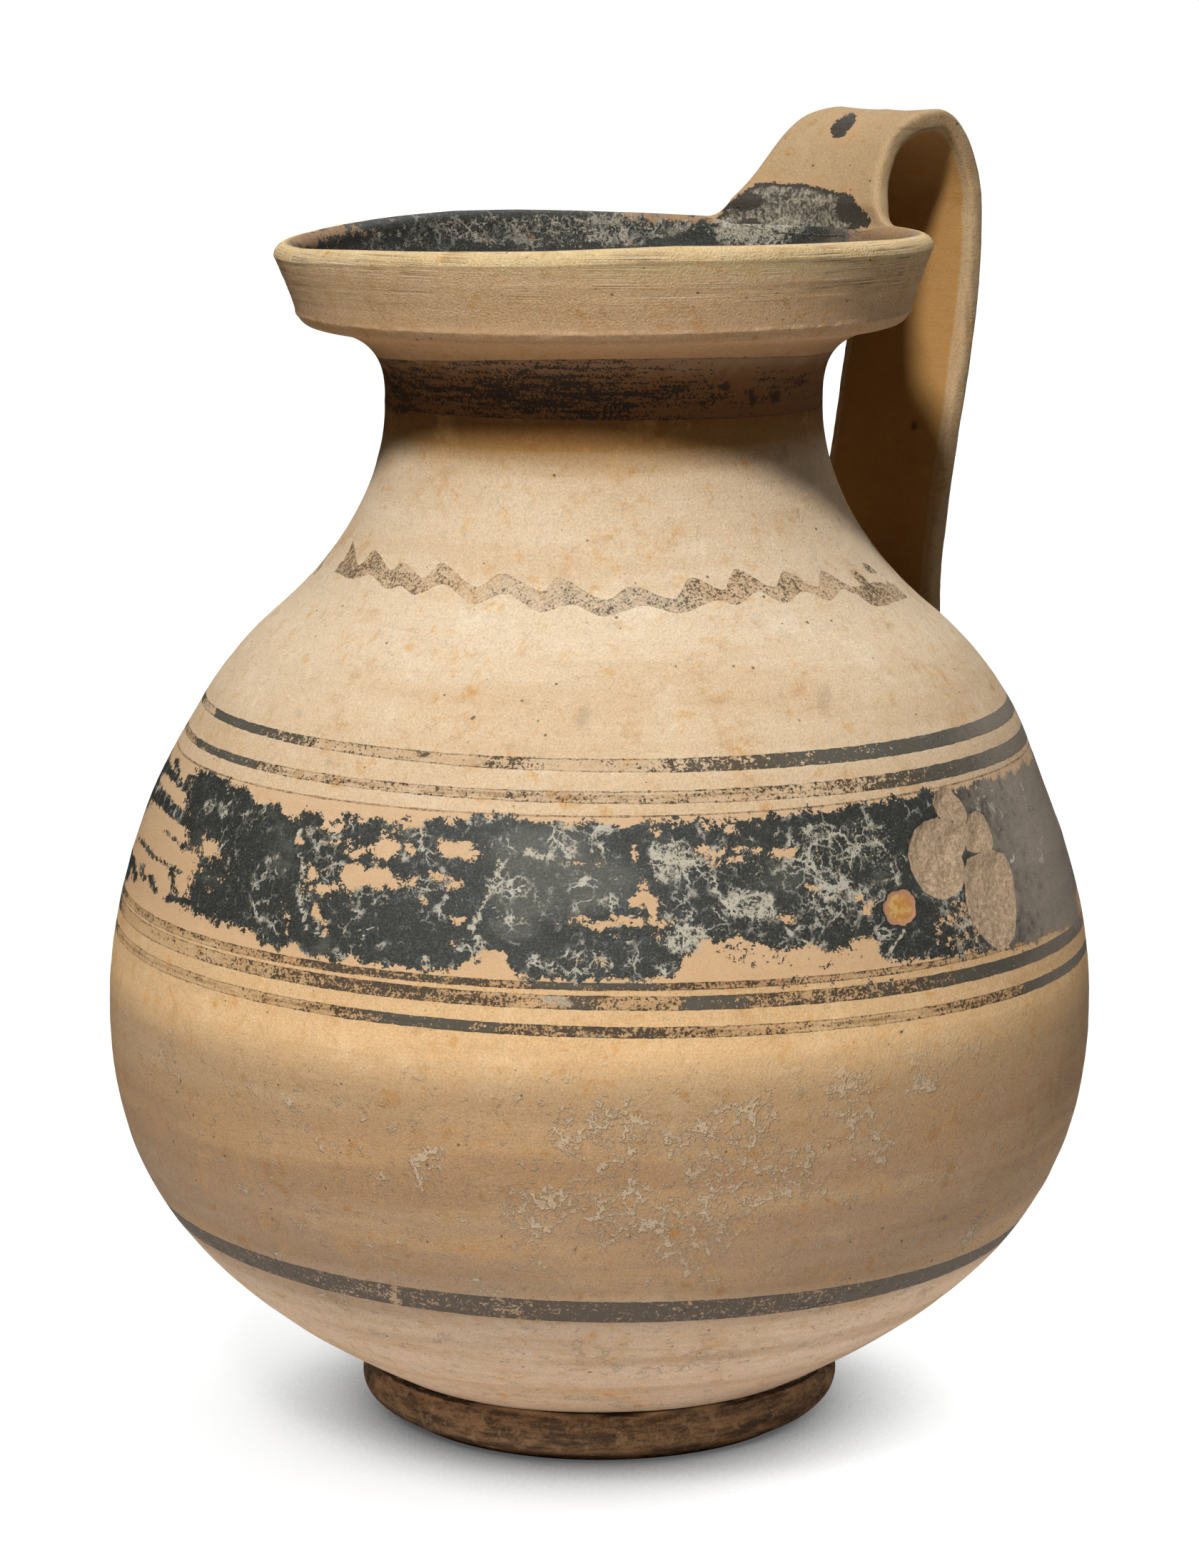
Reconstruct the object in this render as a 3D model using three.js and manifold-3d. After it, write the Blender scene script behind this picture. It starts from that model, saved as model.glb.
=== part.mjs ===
import * as THREE from "three";
import { mergeVertices } from "three/addons/utils/BufferGeometryUtils.js";
import Module from "manifold-3d";

// A wheel-thrown jug of painted clay, made as the potter made it: six pieces of clay,
// thrown or pulled one by one and joined with slip while they were leather-hard.
// Millimetres, +Z up, the table at zero, the pot's axis on Z and the handle towards +X.

// Height of the pot from the table to the top of its lip, which every height below follows
const potHeight = 239.7;

// Foot ring, a roll of clay under the pot
const footRestRadius = 38; // inner edge of the flat that it stands on
const footRestWidth = 4.4;
const footBulge = 6.6; // how far its side stands out beyond that flat
const footBulgeHeight = 6.8;
const footToeAngle = 40; // slope of its side where it meets the table
const footInnerLean = 1.5; // its inner side leans in towards the top

// Bowl, the lower body with its floor, up to the joint with the shoulder
const footHeightShare = 0.0455;
const footTopRadius = 46.1;
const recessHeight = 6.4; // the pot's underside above the table, inside the foot ring
const bowlAngle = 28.6; // slope of the bowl where it leaves the foot, in degrees
const bellyHeightShare = 0.3575;
const bellyRadius = 100;

// Shoulder, the closed-in upper body
const shoulderJointHeightShare = 0.5782;
const shoulderJointRadius = 86.3;
const shoulderJointAngle = 115.3;

// Neck with its flaring top
const neckRootHeightShare = 0.6884;
const neckRootRadius = 66.7;
const neckRootAngle = 139.9;
const waistHeightShare = 0.864;
const waistRadius = 43.8;
const flareHeightShare = 0.9308; // where it meets the collar
const flareReach = 14.8;
const flareAngle = 9.2;

// Collar, the upright band of the mouth with a rounded lip
const arrisReach = 2.7; // the sharp lower edge stands out beyond the flare
const arrisHeightShare = 0.9416;
const collarLean = 4.3; // the lip stands out beyond the arris
const collarBow = 0.25; // the band's face swells this much between them
const lipWidth = 5;

// Walls and joints
const wall = 5.5;
const slipGap = 0.3; // the film of slip between two joined pieces

// Strap handle, from the lip up, over and down to the shoulder
const strapWidth = 32.5;
const crestWidth = 30;
const strapThickness = 7;
const strapDish = 0.5; // its outer face is slightly hollow from edge to edge
const rimSpread = 54; // width where it is pressed onto the lip
const rimThickness = 8.4;
const rimLap = 1; // how far below the lip's widest place its clay is pressed
const shoulderSpread = 37; // width where it is pressed onto the shoulder
const shoulderSpreadLength = 22;
const riseAngle = 74;
const handleReach = 8.6; // outermost place of its middle line beyond the shoulder's joint
const crestRise = 22.9; // crest of the middle line above the lip's widest place
const crestAngle = 3;
const turnReach = 10.4; // crest to that outermost place
const turnDrop = 18.1;
const landingAngle = -96;
const landingDepth = 9; // how far it is carried on before the shoulder cuts it off

// Fullness of each curve: how far its two ends pull, as shares of the chord between them
const basePullShares = [0.5, 0.3];
const bowlPullShares = [0.434, 0.397];
const swellPullShares = [0.427, 0.181];
const shoulderPullShares = [0.344, 0.363];
const neckPullShares = [0.486, 0.24];
const flarePullShares = [0.405, 0.63];
const arrisPullShares = [0.35, 0.35];
const collarPullShares = [0.33, 0.33];
const footPullShares = [0.3, 0.45];
const footTopPullShares = [0.45, 0.4];
const risePullShares = [0.6, 0.36];
const turnPullShares = [0.27, 0.42];
const fallPullShares = [0.22, 0.37];
const landingShare = 0.43; // place of the handle on the shoulder, from joint to neck
const faceShares = [-0.5, 0, 0.5]; // points across each flat face of the strap
const rimFade = 3.6; // power by which the spread at the lip dies away towards the crest

// Facets
const roundSteps = 56;
const strapSteps = 44;
const edgeSteps = 6;
const lipSteps = 6;
const footSteps = 6;
const baseSteps = 3;
const bowlSteps = 9;
const swellSteps = 6;
const shoulderSteps = 5;
const neckSteps = 7;
const flareSteps = 6;
const arrisSteps = 2;
const bandSteps = 4;
const seatSteps = 12;

const wasm = await Module();
wasm.setup();

const radians = THREE.MathUtils.degToRad;
const along = (degrees) => new THREE.Vector2(Math.cos(radians(degrees)), Math.sin(radians(degrees)));

// A place on an outline: how far out, how high and which way the outline runs there
function place(radius, height, degrees) {
  return { at: new THREE.Vector2(radius, height), way: along(degrees) };
}

// The smooth curve between two places
function sweep(from, to, pullShares) {
  const chord = from.at.distanceTo(to.at);
  const leave = from.at.clone().addScaledVector(from.way, chord * pullShares[0]);
  const arrive = to.at.clone().addScaledVector(to.way, -chord * pullShares[1]);
  return new THREE.CubicBezierCurve(from.at, leave, arrive, to.at);
}

const flareRadius = waistRadius + flareReach;
const arrisRadius = flareRadius + arrisReach;
const arrisHeight = potHeight * arrisHeightShare;
const lipRadius = arrisRadius + collarLean;
const lipHeight = potHeight - lipWidth / 2;
const collarRise = lipHeight - arrisHeight;
const collarAngle = THREE.MathUtils.radToDeg(Math.atan2(collarRise, collarLean));

const axisFoot = place(0, recessHeight, 0);
const footTop = place(footTopRadius, potHeight * footHeightShare, bowlAngle);
const belly = place(bellyRadius, potHeight * bellyHeightShare, 90);
const shoulderJoint = place(
  shoulderJointRadius,
  potHeight * shoulderJointHeightShare,
  shoulderJointAngle,
);
const neckRoot = place(neckRootRadius, potHeight * neckRootHeightShare, neckRootAngle);
const waist = place(waistRadius, potHeight * waistHeightShare, 90);
const flareEdge = place(flareRadius, potHeight * flareHeightShare, flareAngle);
const arris = place(arrisRadius, arrisHeight, collarAngle);

const baseCurve = sweep(axisFoot, footTop, basePullShares);
const bowlCurve = sweep(footTop, belly, bowlPullShares);
const swellCurve = sweep(belly, shoulderJoint, swellPullShares);
const shoulderCurve = sweep(shoulderJoint, neckRoot, shoulderPullShares);
const neckCurve = sweep(neckRoot, waist, neckPullShares);
const flareCurve = sweep(waist, flareEdge, flarePullShares);
const arrisCurve = sweep(flareEdge, arris, arrisPullShares);

// Points along a curve, moved off it to its left by a distance, starting a little way in
function pointsBeside(curve, steps, distance, start = 0) {
  const points = [];
  const first = start / curve.getLength();
  for (let i = 0; i <= steps; i += 1) {
    const share = first + (1 - first) * (i / steps);
    const way = curve.getTangentAt(share);
    const left = new THREE.Vector2(-way.y, way.x);
    points.push(curve.getPointAt(share).addScaledVector(left, distance));
  }
  return points;
}

// A wall between the outline and its inner side, whose joint faces cross it squarely
function wallOutline(curves, stepCounts, start = 0) {
  const side = (distance) =>
    curves.flatMap((curve, i) => {
      const points = pointsBeside(curve, stepCounts[i], distance, i === 0 ? start : 0);
      return i === 0 ? points : points.slice(1);
    });
  return [...side(0), ...side(wall).reverse()];
}

// The body that an outline of radius and height sweeps round the pot's axis
function turned(outline) {
  const onAxis = outline[0].x === 0 && outline[outline.length - 1].x === 0;
  const closed = onAxis ? outline : [...outline, outline[0]];
  return new THREE.LatheGeometry(closed, roundSteps).rotateX(Math.PI / 2);
}

function solidOf(geometry) {
  const bare = geometry.clone();
  bare.deleteAttribute("normal");
  bare.deleteAttribute("uv");
  const merged = mergeVertices(bare);
  const vertProperties = merged.attributes.position.array;
  const triVerts = new Uint32Array(merged.index.array);
  return new wasm.Manifold(new wasm.Mesh({ numProp: 3, vertProperties, triVerts }));
}

function geometryOf(solid) {
  const mesh = solid.getMesh();
  const geometry = new THREE.BufferGeometry();
  geometry.setAttribute("position", new THREE.BufferAttribute(mesh.vertProperties, mesh.numProp));
  geometry.setIndex(new THREE.BufferAttribute(mesh.triVerts, 1));
  geometry.computeVertexNormals();
  return geometry;
}

function footRing() {
  const restOuter = footRestRadius + footRestWidth;
  const toe = place(restOuter, 0, footToeAngle);
  const side = place(restOuter + footBulge, footBulgeHeight, 90);
  const seat = pointsBeside(baseCurve, seatSteps, -slipGap).filter((p) => {
    return p.x > footRestRadius - footInnerLean;
  });
  const heel = seat[seat.length - 1];
  const top = place(heel.x, heel.y, 180 + bowlAngle);
  const lowerSide = sweep(toe, side, footPullShares).getPoints(footSteps);
  const upperSide = sweep(side, top, footTopPullShares).getPoints(footSteps);
  const inner = new THREE.Vector2(footRestRadius, 0);
  return turned([inner, ...lowerSide, ...upperSide.slice(1), ...seat.reverse().slice(1)]);
}

// Its outline starts and ends on the axis, under and over the floor
function bowl() {
  const curves = [baseCurve, bowlCurve, swellCurve];
  const outline = wallOutline(curves, [baseSteps, bowlSteps, swellSteps]);
  outline[0].x = 0;
  outline[outline.length - 1].x = 0;
  return turned(outline);
}

function shoulder() {
  return turned(wallOutline([shoulderCurve], [shoulderSteps], slipGap));
}

// The neck ends in a mitre that runs from the arris to the inner corner of the mouth
const mouthCorner = pointsBeside(flareCurve, 1, wall)[1];

function neck() {
  const outer = [
    ...pointsBeside(neckCurve, neckSteps, 0, slipGap),
    ...pointsBeside(flareCurve, flareSteps, 0).slice(1),
    ...pointsBeside(arrisCurve, arrisSteps, 0).slice(1),
  ];
  const inner = [
    ...pointsBeside(neckCurve, neckSteps, wall, slipGap),
    ...pointsBeside(flareCurve, flareSteps, wall).slice(1),
  ];
  return turned([...outer, ...inner.reverse()]);
}

// The lip is half round: from the collar's outer face over the top to its inner face
const lipMiddle = new THREE.Vector2(lipRadius - lipWidth / 2, lipHeight);

function collarOutline(clearance) {
  const band = sweep(arris, place(lipRadius, lipHeight, 90), collarPullShares);
  const outer = pointsBeside(band, bandSteps, -clearance).map((p, i, all) => {
    const middleness = Math.sin((Math.PI * i) / (all.length - 1));
    return p.add(new THREE.Vector2(collarBow * middleness, 0));
  });
  const lip = [];
  for (let i = 1; i < lipSteps; i += 1) {
    const reach = lipWidth / 2 + clearance;
    lip.push(lipMiddle.clone().addScaledVector(along((180 * i) / lipSteps), reach));
  }
  const innerLip = place(lipRadius - lipWidth, lipHeight, 90);
  const innerFoot = { at: mouthCorner, way: along(collarAngle) };
  const innerFace = sweep(innerFoot, innerLip, collarPullShares);
  const inner = pointsBeside(innerFace, bandSteps, clearance);
  return [...outer, ...lip, ...inner.reverse()];
}

function collar() {
  const lift = along(collarAngle).multiplyScalar(slipGap);
  const outline = collarOutline(0);
  outline[0].add(lift);
  outline[outline.length - 1].add(lift);
  return turned(outline);
}

// The handle's middle line in the plane of the axis, from the lip to inside the shoulder
function strapLine() {
  const start = place(lipMiddle.x, lipHeight, riseAngle);
  const outermostRadius = shoulderJointRadius + handleReach;
  const crest = place(outermostRadius - turnReach, lipHeight + crestRise, crestAngle);
  const outermost = place(outermostRadius, crest.at.y - turnDrop, -90);
  const landing = shoulderCurve.getPointAt(landingShare);
  const end = place(landing.x, landing.y, landingAngle);
  start.at.addScaledVector(start.way, -rimLap);
  end.at.addScaledVector(end.way, landingDepth);
  const path = new THREE.CurvePath();
  path.add(sweep(start, crest, risePullShares));
  path.add(sweep(crest, outermost, turnPullShares));
  path.add(sweep(outermost, end, fallPullShares));
  return path;
}

// Width and thickness of the strap at a distance from its start: it spreads onto the lip,
// narrows to the crest, widens again on the way down and spreads onto the shoulder
function strapSection(distance, crestDistance, length) {
  const toCrest = Math.max(0, 1 - distance / crestDistance);
  const pressed = Math.pow(toCrest, rimFade);
  const pastCrest = THREE.MathUtils.smoothstep(distance, crestDistance, length / 2);
  const toLanding = (length - landingDepth - distance) / shoulderSpreadLength;
  const landed = Math.pow(THREE.MathUtils.clamp(1 - toLanding, 0, 1), 2);
  const width =
    crestWidth +
    (rimSpread - crestWidth) * pressed +
    (strapWidth - crestWidth) * pastCrest +
    (shoulderSpread - strapWidth) * landed;
  return { width, thickness: strapThickness + (rimThickness - strapThickness) * pressed, toCrest };
}

// Outline of the strap's section: two round edges joined by an outer and an inner face,
// with x across the strap and y towards its outer face
function sectionOutline(width, thickness) {
  const round = thickness / 2;
  const reach = width / 2 - round;
  const edge = (side) =>
    Array.from({ length: edgeSteps + 1 }, (_, i) => {
      const turn = along(-90 + (180 * i) / edgeSteps).multiplyScalar(round * side);
      return new THREE.Vector2(reach * side, 0).add(turn);
    });
  const outer = faceShares.map((share) => {
    return new THREE.Vector2(-share * reach, round - strapDish * (1 - share * share));
  });
  const inner = faceShares.map((share) => new THREE.Vector2(share * reach, -round));
  return [...edge(1), ...outer, ...edge(-1), ...inner];
}

// One ring of points round the strap, bent to the lip's circle at the start
function strapRing(path, share, crestDistance, length) {
  const middle = path.getPointAt(share);
  const way = path.getTangentAt(share);
  const outward = new THREE.Vector2(-way.y, way.x);
  const { width, thickness, toCrest } = strapSection(share * length, crestDistance, length);
  return sectionOutline(width, thickness).map((p) => {
    const sag = lipMiddle.x - Math.sqrt(Math.max(0, lipMiddle.x * lipMiddle.x - p.x * p.x));
    const x = middle.x + outward.x * p.y - sag * toCrest;
    return new THREE.Vector3(x, p.x, middle.y + outward.y * p.y);
  });
}

// Skin over a row of rings with a flat fan on each end
function lofted(rings) {
  const sides = rings[0].length;
  const points = rings.flat();
  const faces = [];
  for (let r = 0; r < rings.length - 1; r += 1) {
    for (let s = 0; s < sides; s += 1) {
      const a = r * sides + s;
      const b = r * sides + ((s + 1) % sides);
      faces.push(a, b, a + sides, b, b + sides, a + sides);
    }
  }
  const last = (rings.length - 1) * sides;
  for (let s = 1; s < sides - 1; s += 1) {
    faces.push(0, s + 1, s, last, last + s, last + s + 1);
  }
  const geometry = new THREE.BufferGeometry().setFromPoints(points);
  geometry.setIndex(faces);
  return geometry;
}

// The whole pot as one filled form, a film of slip larger, which cuts the handle's seats
function potEnvelope() {
  const curves = [baseCurve, bowlCurve, swellCurve, shoulderCurve, neckCurve, flareCurve];
  const outline = curves.flatMap((curve) => pointsBeside(curve, seatSteps, -slipGap));
  outline[0].x = 0;
  outline.push(new THREE.Vector2(0, outline[outline.length - 1].y));
  return solidOf(turned(outline));
}

function strapHandle() {
  const path = strapLine();
  const length = path.getLength();
  const crestDistance = path.curves[0].getLength();
  const rings = [];
  for (let i = 0; i <= strapSteps; i += 1) {
    rings.push(strapRing(path, i / strapSteps, crestDistance, length));
  }
  const strap = solidOf(lofted(rings));
  return geometryOf(strap.subtract(potEnvelope()).subtract(solidOf(turned(collarOutline(slipGap)))));
}

function piece(name, geometry, colour, roughness) {
  const material = new THREE.MeshStandardMaterial({ color: colour, roughness, metalness: 0 });
  const mesh = new THREE.Mesh(geometry, material);
  mesh.name = name;
  return mesh;
}

const jug = new THREE.Group();
jug.add(piece("foot_ring", footRing(), 0x9a7a5c, 0.85));
jug.add(piece("body_bowl", bowl(), 0xcdb596, 0.8));
jug.add(piece("shoulder", shoulder(), 0xdcc19a, 0.8));
jug.add(piece("neck", neck(), 0xc9a67c, 0.8));
jug.add(piece("mouth_collar", collar(), 0xcaa67a, 0.8));
jug.add(piece("strap_handle", strapHandle(), 0xc8a070, 0.78));

export default jug;
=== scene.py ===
import math
from types import SimpleNamespace

import bpy
import numpy as np
from mathutils import Matrix, Vector


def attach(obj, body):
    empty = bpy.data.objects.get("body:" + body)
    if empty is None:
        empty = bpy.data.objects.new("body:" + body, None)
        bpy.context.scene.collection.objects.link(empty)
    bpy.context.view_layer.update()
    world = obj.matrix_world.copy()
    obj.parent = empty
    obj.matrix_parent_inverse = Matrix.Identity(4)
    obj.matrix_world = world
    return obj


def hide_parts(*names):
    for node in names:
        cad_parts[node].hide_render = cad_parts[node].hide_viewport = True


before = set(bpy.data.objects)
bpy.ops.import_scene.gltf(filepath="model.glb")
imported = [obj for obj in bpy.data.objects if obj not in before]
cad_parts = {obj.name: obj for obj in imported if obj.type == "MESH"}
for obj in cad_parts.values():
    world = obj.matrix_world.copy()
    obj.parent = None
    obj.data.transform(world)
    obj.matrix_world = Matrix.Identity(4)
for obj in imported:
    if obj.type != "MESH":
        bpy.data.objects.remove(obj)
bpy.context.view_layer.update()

# Lengths are millimetres and angles degrees up to the moment a mesh is made.
MM = 0.001

# The pot's outline, as in the solids
POT_HEIGHT = 239.7
FOOT_REST_RADIUS, FOOT_REST_WIDTH = 38.0, 4.4
FOOT_BULGE, FOOT_BULGE_HEIGHT, FOOT_TOE_ANGLE, FOOT_INNER_LEAN = 6.6, 6.8, 40.0, 1.5
FOOT_TOP_RADIUS, FOOT_HEIGHT_SHARE, RECESS_HEIGHT, BOWL_ANGLE = 46.1, 0.0455, 6.4, 28.6
BELLY_RADIUS, BELLY_HEIGHT_SHARE = 100.0, 0.3575
SHOULDER_RADIUS, SHOULDER_HEIGHT_SHARE, SHOULDER_ANGLE = 86.3, 0.5782, 115.3
NECK_ROOT_RADIUS, NECK_ROOT_HEIGHT_SHARE, NECK_ROOT_ANGLE = 66.7, 0.6884, 139.9
WAIST_RADIUS, WAIST_HEIGHT_SHARE = 43.8, 0.864
FLARE_HEIGHT_SHARE, FLARE_REACH, FLARE_ANGLE = 0.9308, 14.8, 9.2
ARRIS_REACH, ARRIS_HEIGHT_SHARE = 2.7, 0.9416
COLLAR_LEAN, COLLAR_BOW, LIP_WIDTH = 4.3, 0.25, 5.0
WALL = 5.5

# The strap's middle line and section, as in the solids
CREST_WIDTH, STRAP_WIDTH, STRAP_THICKNESS, STRAP_DISH = 30.0, 32.5, 7.0, 0.5
RIM_SPREAD, RIM_THICKNESS, RIM_LAP, RIM_FADE = 54.0, 8.4, 1.0, 3.6
SHOULDER_SPREAD, SHOULDER_SPREAD_LENGTH = 37.0, 22.0
RISE_ANGLE, HANDLE_REACH, CREST_RISE, CREST_ANGLE = 74.0, 8.6, 22.9, 3.0
TURN_REACH, TURN_DROP, LANDING_ANGLE, LANDING_DEPTH, LANDING_SHARE = 10.4, 18.1, -96.0, 9.0, 0.43

# How far each end of a curve pulls, as shares of its chord
BASE_SHARES, BOWL_SHARES, SWELL_SHARES = (0.5, 0.3), (0.434, 0.397), (0.427, 0.181)
SHOULDER_SHARES, NECK_SHARES, FLARE_SHARES = (0.344, 0.363), (0.486, 0.24), (0.405, 0.63)
ARRIS_SHARES, COLLAR_SHARES = (0.35, 0.35), (0.33, 0.33)
FOOT_SHARES, FOOT_TOP_SHARES = (0.3, 0.45), (0.45, 0.4)
RISE_SHARES, TURN_SHARES, FALL_SHARES = (0.6, 0.36), (0.27, 0.42), (0.22, 0.37)

# The camera, found from the pot's outline in the photograph
PHOTO_WIDTH, PHOTO_HEIGHT = 1680, 2197
CAMERA_DISTANCE, CAMERA_HEIGHT = 891.86, 291.43
CAMERA_PITCH = 10.307
FOCAL_PIXELS = 6241.86
SENSOR, CLIP_NEAR, CLIP_FAR = 36.0, 0.05, 50


def rads(degrees):
    return np.radians(degrees)


def way(degrees):
    return np.array([math.cos(rads(degrees)), math.sin(rads(degrees))])


def unit(vectors):
    return vectors / np.linalg.norm(vectors, axis=-1, keepdims=True)


def read_rows(places, known, rows):
    """Rows at some places, running straight between the known ones."""
    return np.stack([np.interp(places, known, column) for column in rows.T], -1)


def lengths_along(points):
    """How far along a line each of its points is."""
    return np.concatenate([[0], np.cumsum(np.linalg.norm(np.diff(points, axis=0), axis=1))])


class Curve:
    """A smooth curve between two places on an outline, read by length along it."""

    def __init__(self, start, start_angle, end, end_angle, shares, steps=600):
        start, end = np.array(start, float), np.array(end, float)
        chord = np.linalg.norm(end - start)
        leave = start + way(start_angle) * chord * shares[0]
        arrive = end - way(end_angle) * chord * shares[1]
        t = np.linspace(0, 1, steps + 1)[:, None]
        self.points = (
            (1 - t) ** 3 * start
            + 3 * (1 - t) ** 2 * t * leave
            + 3 * (1 - t) * t**2 * arrive
            + t**3 * end
        )
        self.along = lengths_along(self.points)
        self.length = self.along[-1]
        self.ways = unit(
            (1 - t) ** 2 * (leave - start)
            + 2 * (1 - t) * t * (arrive - leave)
            + t**2 * (end - arrive)
        )

    def at(self, distances):
        return read_rows(distances, self.along, self.points)

    def way_at(self, distances):
        return unit(read_rows(distances, self.along, self.ways))


arris_height = POT_HEIGHT * ARRIS_HEIGHT_SHARE
flare_radius = WAIST_RADIUS + FLARE_REACH
arris_radius = flare_radius + ARRIS_REACH
lip_radius = arris_radius + COLLAR_LEAN
lip_height = POT_HEIGHT - LIP_WIDTH / 2
collar_angle = math.degrees(math.atan2(lip_height - arris_height, COLLAR_LEAN))

foot_top = (FOOT_TOP_RADIUS, POT_HEIGHT * FOOT_HEIGHT_SHARE)
belly = (BELLY_RADIUS, POT_HEIGHT * BELLY_HEIGHT_SHARE)
shoulder_joint = (SHOULDER_RADIUS, POT_HEIGHT * SHOULDER_HEIGHT_SHARE)
neck_root = (NECK_ROOT_RADIUS, POT_HEIGHT * NECK_ROOT_HEIGHT_SHARE)
waist = (WAIST_RADIUS, POT_HEIGHT * WAIST_HEIGHT_SHARE)
flare_edge = (flare_radius, POT_HEIGHT * FLARE_HEIGHT_SHARE)
arris = (arris_radius, arris_height)
lip_edge = (lip_radius, lip_height)
lip_middle = np.array([lip_radius - LIP_WIDTH / 2, lip_height])

base_curve = Curve((0, RECESS_HEIGHT), 0, foot_top, BOWL_ANGLE, BASE_SHARES)
bowl_curve = Curve(foot_top, BOWL_ANGLE, belly, 90, BOWL_SHARES)
swell_curve = Curve(belly, 90, shoulder_joint, SHOULDER_ANGLE, SWELL_SHARES)
shoulder_curve = Curve(shoulder_joint, SHOULDER_ANGLE, neck_root, NECK_ROOT_ANGLE, SHOULDER_SHARES)
neck_curve = Curve(neck_root, NECK_ROOT_ANGLE, waist, 90, NECK_SHARES)
flare_curve = Curve(waist, 90, flare_edge, FLARE_ANGLE, FLARE_SHARES)
arris_curve = Curve(flare_edge, FLARE_ANGLE, arris, collar_angle, ARRIS_SHARES)
collar_curve = Curve(arris, collar_angle, lip_edge, 90, COLLAR_SHARES)


# Camera

view_right = np.array([1.0, -1.0, 0.0]) / math.sqrt(2)
view_forward = np.array([1.0, 1.0, 0.0]) / math.sqrt(2)
camera_at = -CAMERA_DISTANCE * view_forward + np.array([0, 0, CAMERA_HEIGHT])
look = view_forward * math.cos(rads(CAMERA_PITCH)) + np.array([0, 0, -math.sin(rads(CAMERA_PITCH))])
camera_up = np.cross(view_right, look)


def photo_of(points):
    """Pixels of the photograph at which points show, in millimetres in the row frame."""
    ray = points - camera_at
    depth = ray @ look
    across = PHOTO_WIDTH / 2 + FOCAL_PIXELS * (ray @ view_right) / depth
    down = PHOTO_HEIGHT / 2 - FOCAL_PIXELS * (ray @ camera_up) / depth
    return across, down


def add_camera():
    data = bpy.data.cameras.new("camera")
    data.sensor_fit = "AUTO"
    data.sensor_width = SENSOR
    data.lens = FOCAL_PIXELS * SENSOR / PHOTO_HEIGHT
    data.clip_start, data.clip_end = CLIP_NEAR, CLIP_FAR
    camera = bpy.data.objects.new("camera", data)
    bpy.context.scene.collection.objects.link(camera)
    turn = Matrix([view_right, camera_up, -look]).transposed()
    camera.matrix_world = Matrix.Translation(Vector(camera_at * MM)) @ turn.to_4x4()
    bpy.context.scene.camera = camera


# Seeded unevenness


class Lumps:
    """Smooth seeded unevenness over turn round the pot and height, within about -1 to 1."""

    def __init__(self, seed, across, up, low=-20.0, high=300.0):
        self.across, self.up, self.low = across, up, low
        rows = int((high - low) / up) + 4
        self.grid = np.random.default_rng(seed).uniform(-1, 1, (rows, across))

    def __call__(self, turn, height):
        x = (np.asarray(turn) / 360.0 % 1.0) * self.across
        y = np.clip((np.asarray(height) - self.low) / self.up, 0, self.grid.shape[0] - 2.001)
        x, y = np.broadcast_arrays(x, y)
        i, j = np.floor(x).astype(int), np.floor(y).astype(int)
        fx, fy = x - i, y - j
        fx, fy = fx * fx * (3 - 2 * fx), fy * fy * (3 - 2 * fy)
        i0, i1 = i % self.across, (i + 1) % self.across
        lower = self.grid[j, i0] * (1 - fx) + self.grid[j, i1] * fx
        upper = self.grid[j + 1, i0] * (1 - fx) + self.grid[j + 1, i1] * fx
        return lower * (1 - fy) + upper * fy


def smooth(x, low, high):
    t = np.clip((x - low) / (high - low), 0, 1)
    return t * t * (3 - 2 * t)


# The upper pot stands slightly off the lower pot's axis, and its rim isn't level
LEAN_START, LEAN_FULL, LEAN_BACK = 128.0, 148.0, 185.0
LEAN_SHOULDER, LEAN_NECK = 1.3, 0.8
RIM_RISE_RIGHT, RIM_RISE_BACK, RIM_RISE_START = 0.7, 0.8, 205.0
CREST_START, CREST_FULL = 241.0, 256.0
# How much higher the lip stands at each turn, in millimetres
LIP_RISE = (
    (0, 2.5), (12, 2.8), (35, 2.2), (64, 1.1), (90, 0.4), (135, 0.1), (160, 0.3), (180, 1.2), (198, 2.1),
    (210, 2.3), (222, 1.8), (235, 1.1), (250, 0.35), (270, 0.0), (292, 0.3), (312, 1.2), (335, 1.8),
    (350, 2.1),
)


def warped(points):
    """Points of the true round form moved to where the real pot's uneven form has them."""
    height = points[..., 2]
    lean = LEAN_SHOULDER * smooth(height, LEAN_START, LEAN_FULL)
    lean += (LEAN_NECK - LEAN_SHOULDER) * smooth(height, LEAN_FULL, LEAN_BACK)
    below_crest = 1 - smooth(height, CREST_START, CREST_FULL)
    rim = smooth(height, RIM_RISE_START, POT_HEIGHT)
    right, back = points @ view_right, points @ view_forward
    rise = (RIM_RISE_RIGHT * right + RIM_RISE_BACK * back) / lip_radius
    moved = points + lean[..., None] * view_right
    lip = np.interp(np.degrees(np.arctan2(right, -back)), *np.array(LIP_RISE).T, period=360)
    moved[..., 2] += (rise * rim + lip * smooth(height, arris_height, POT_HEIGHT)) * below_crest
    return moved


# Marks read from the photograph, in its pixels. What it doesn't show follows seeded unevenness.

PIXELS_PER_MM = 7.05

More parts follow.
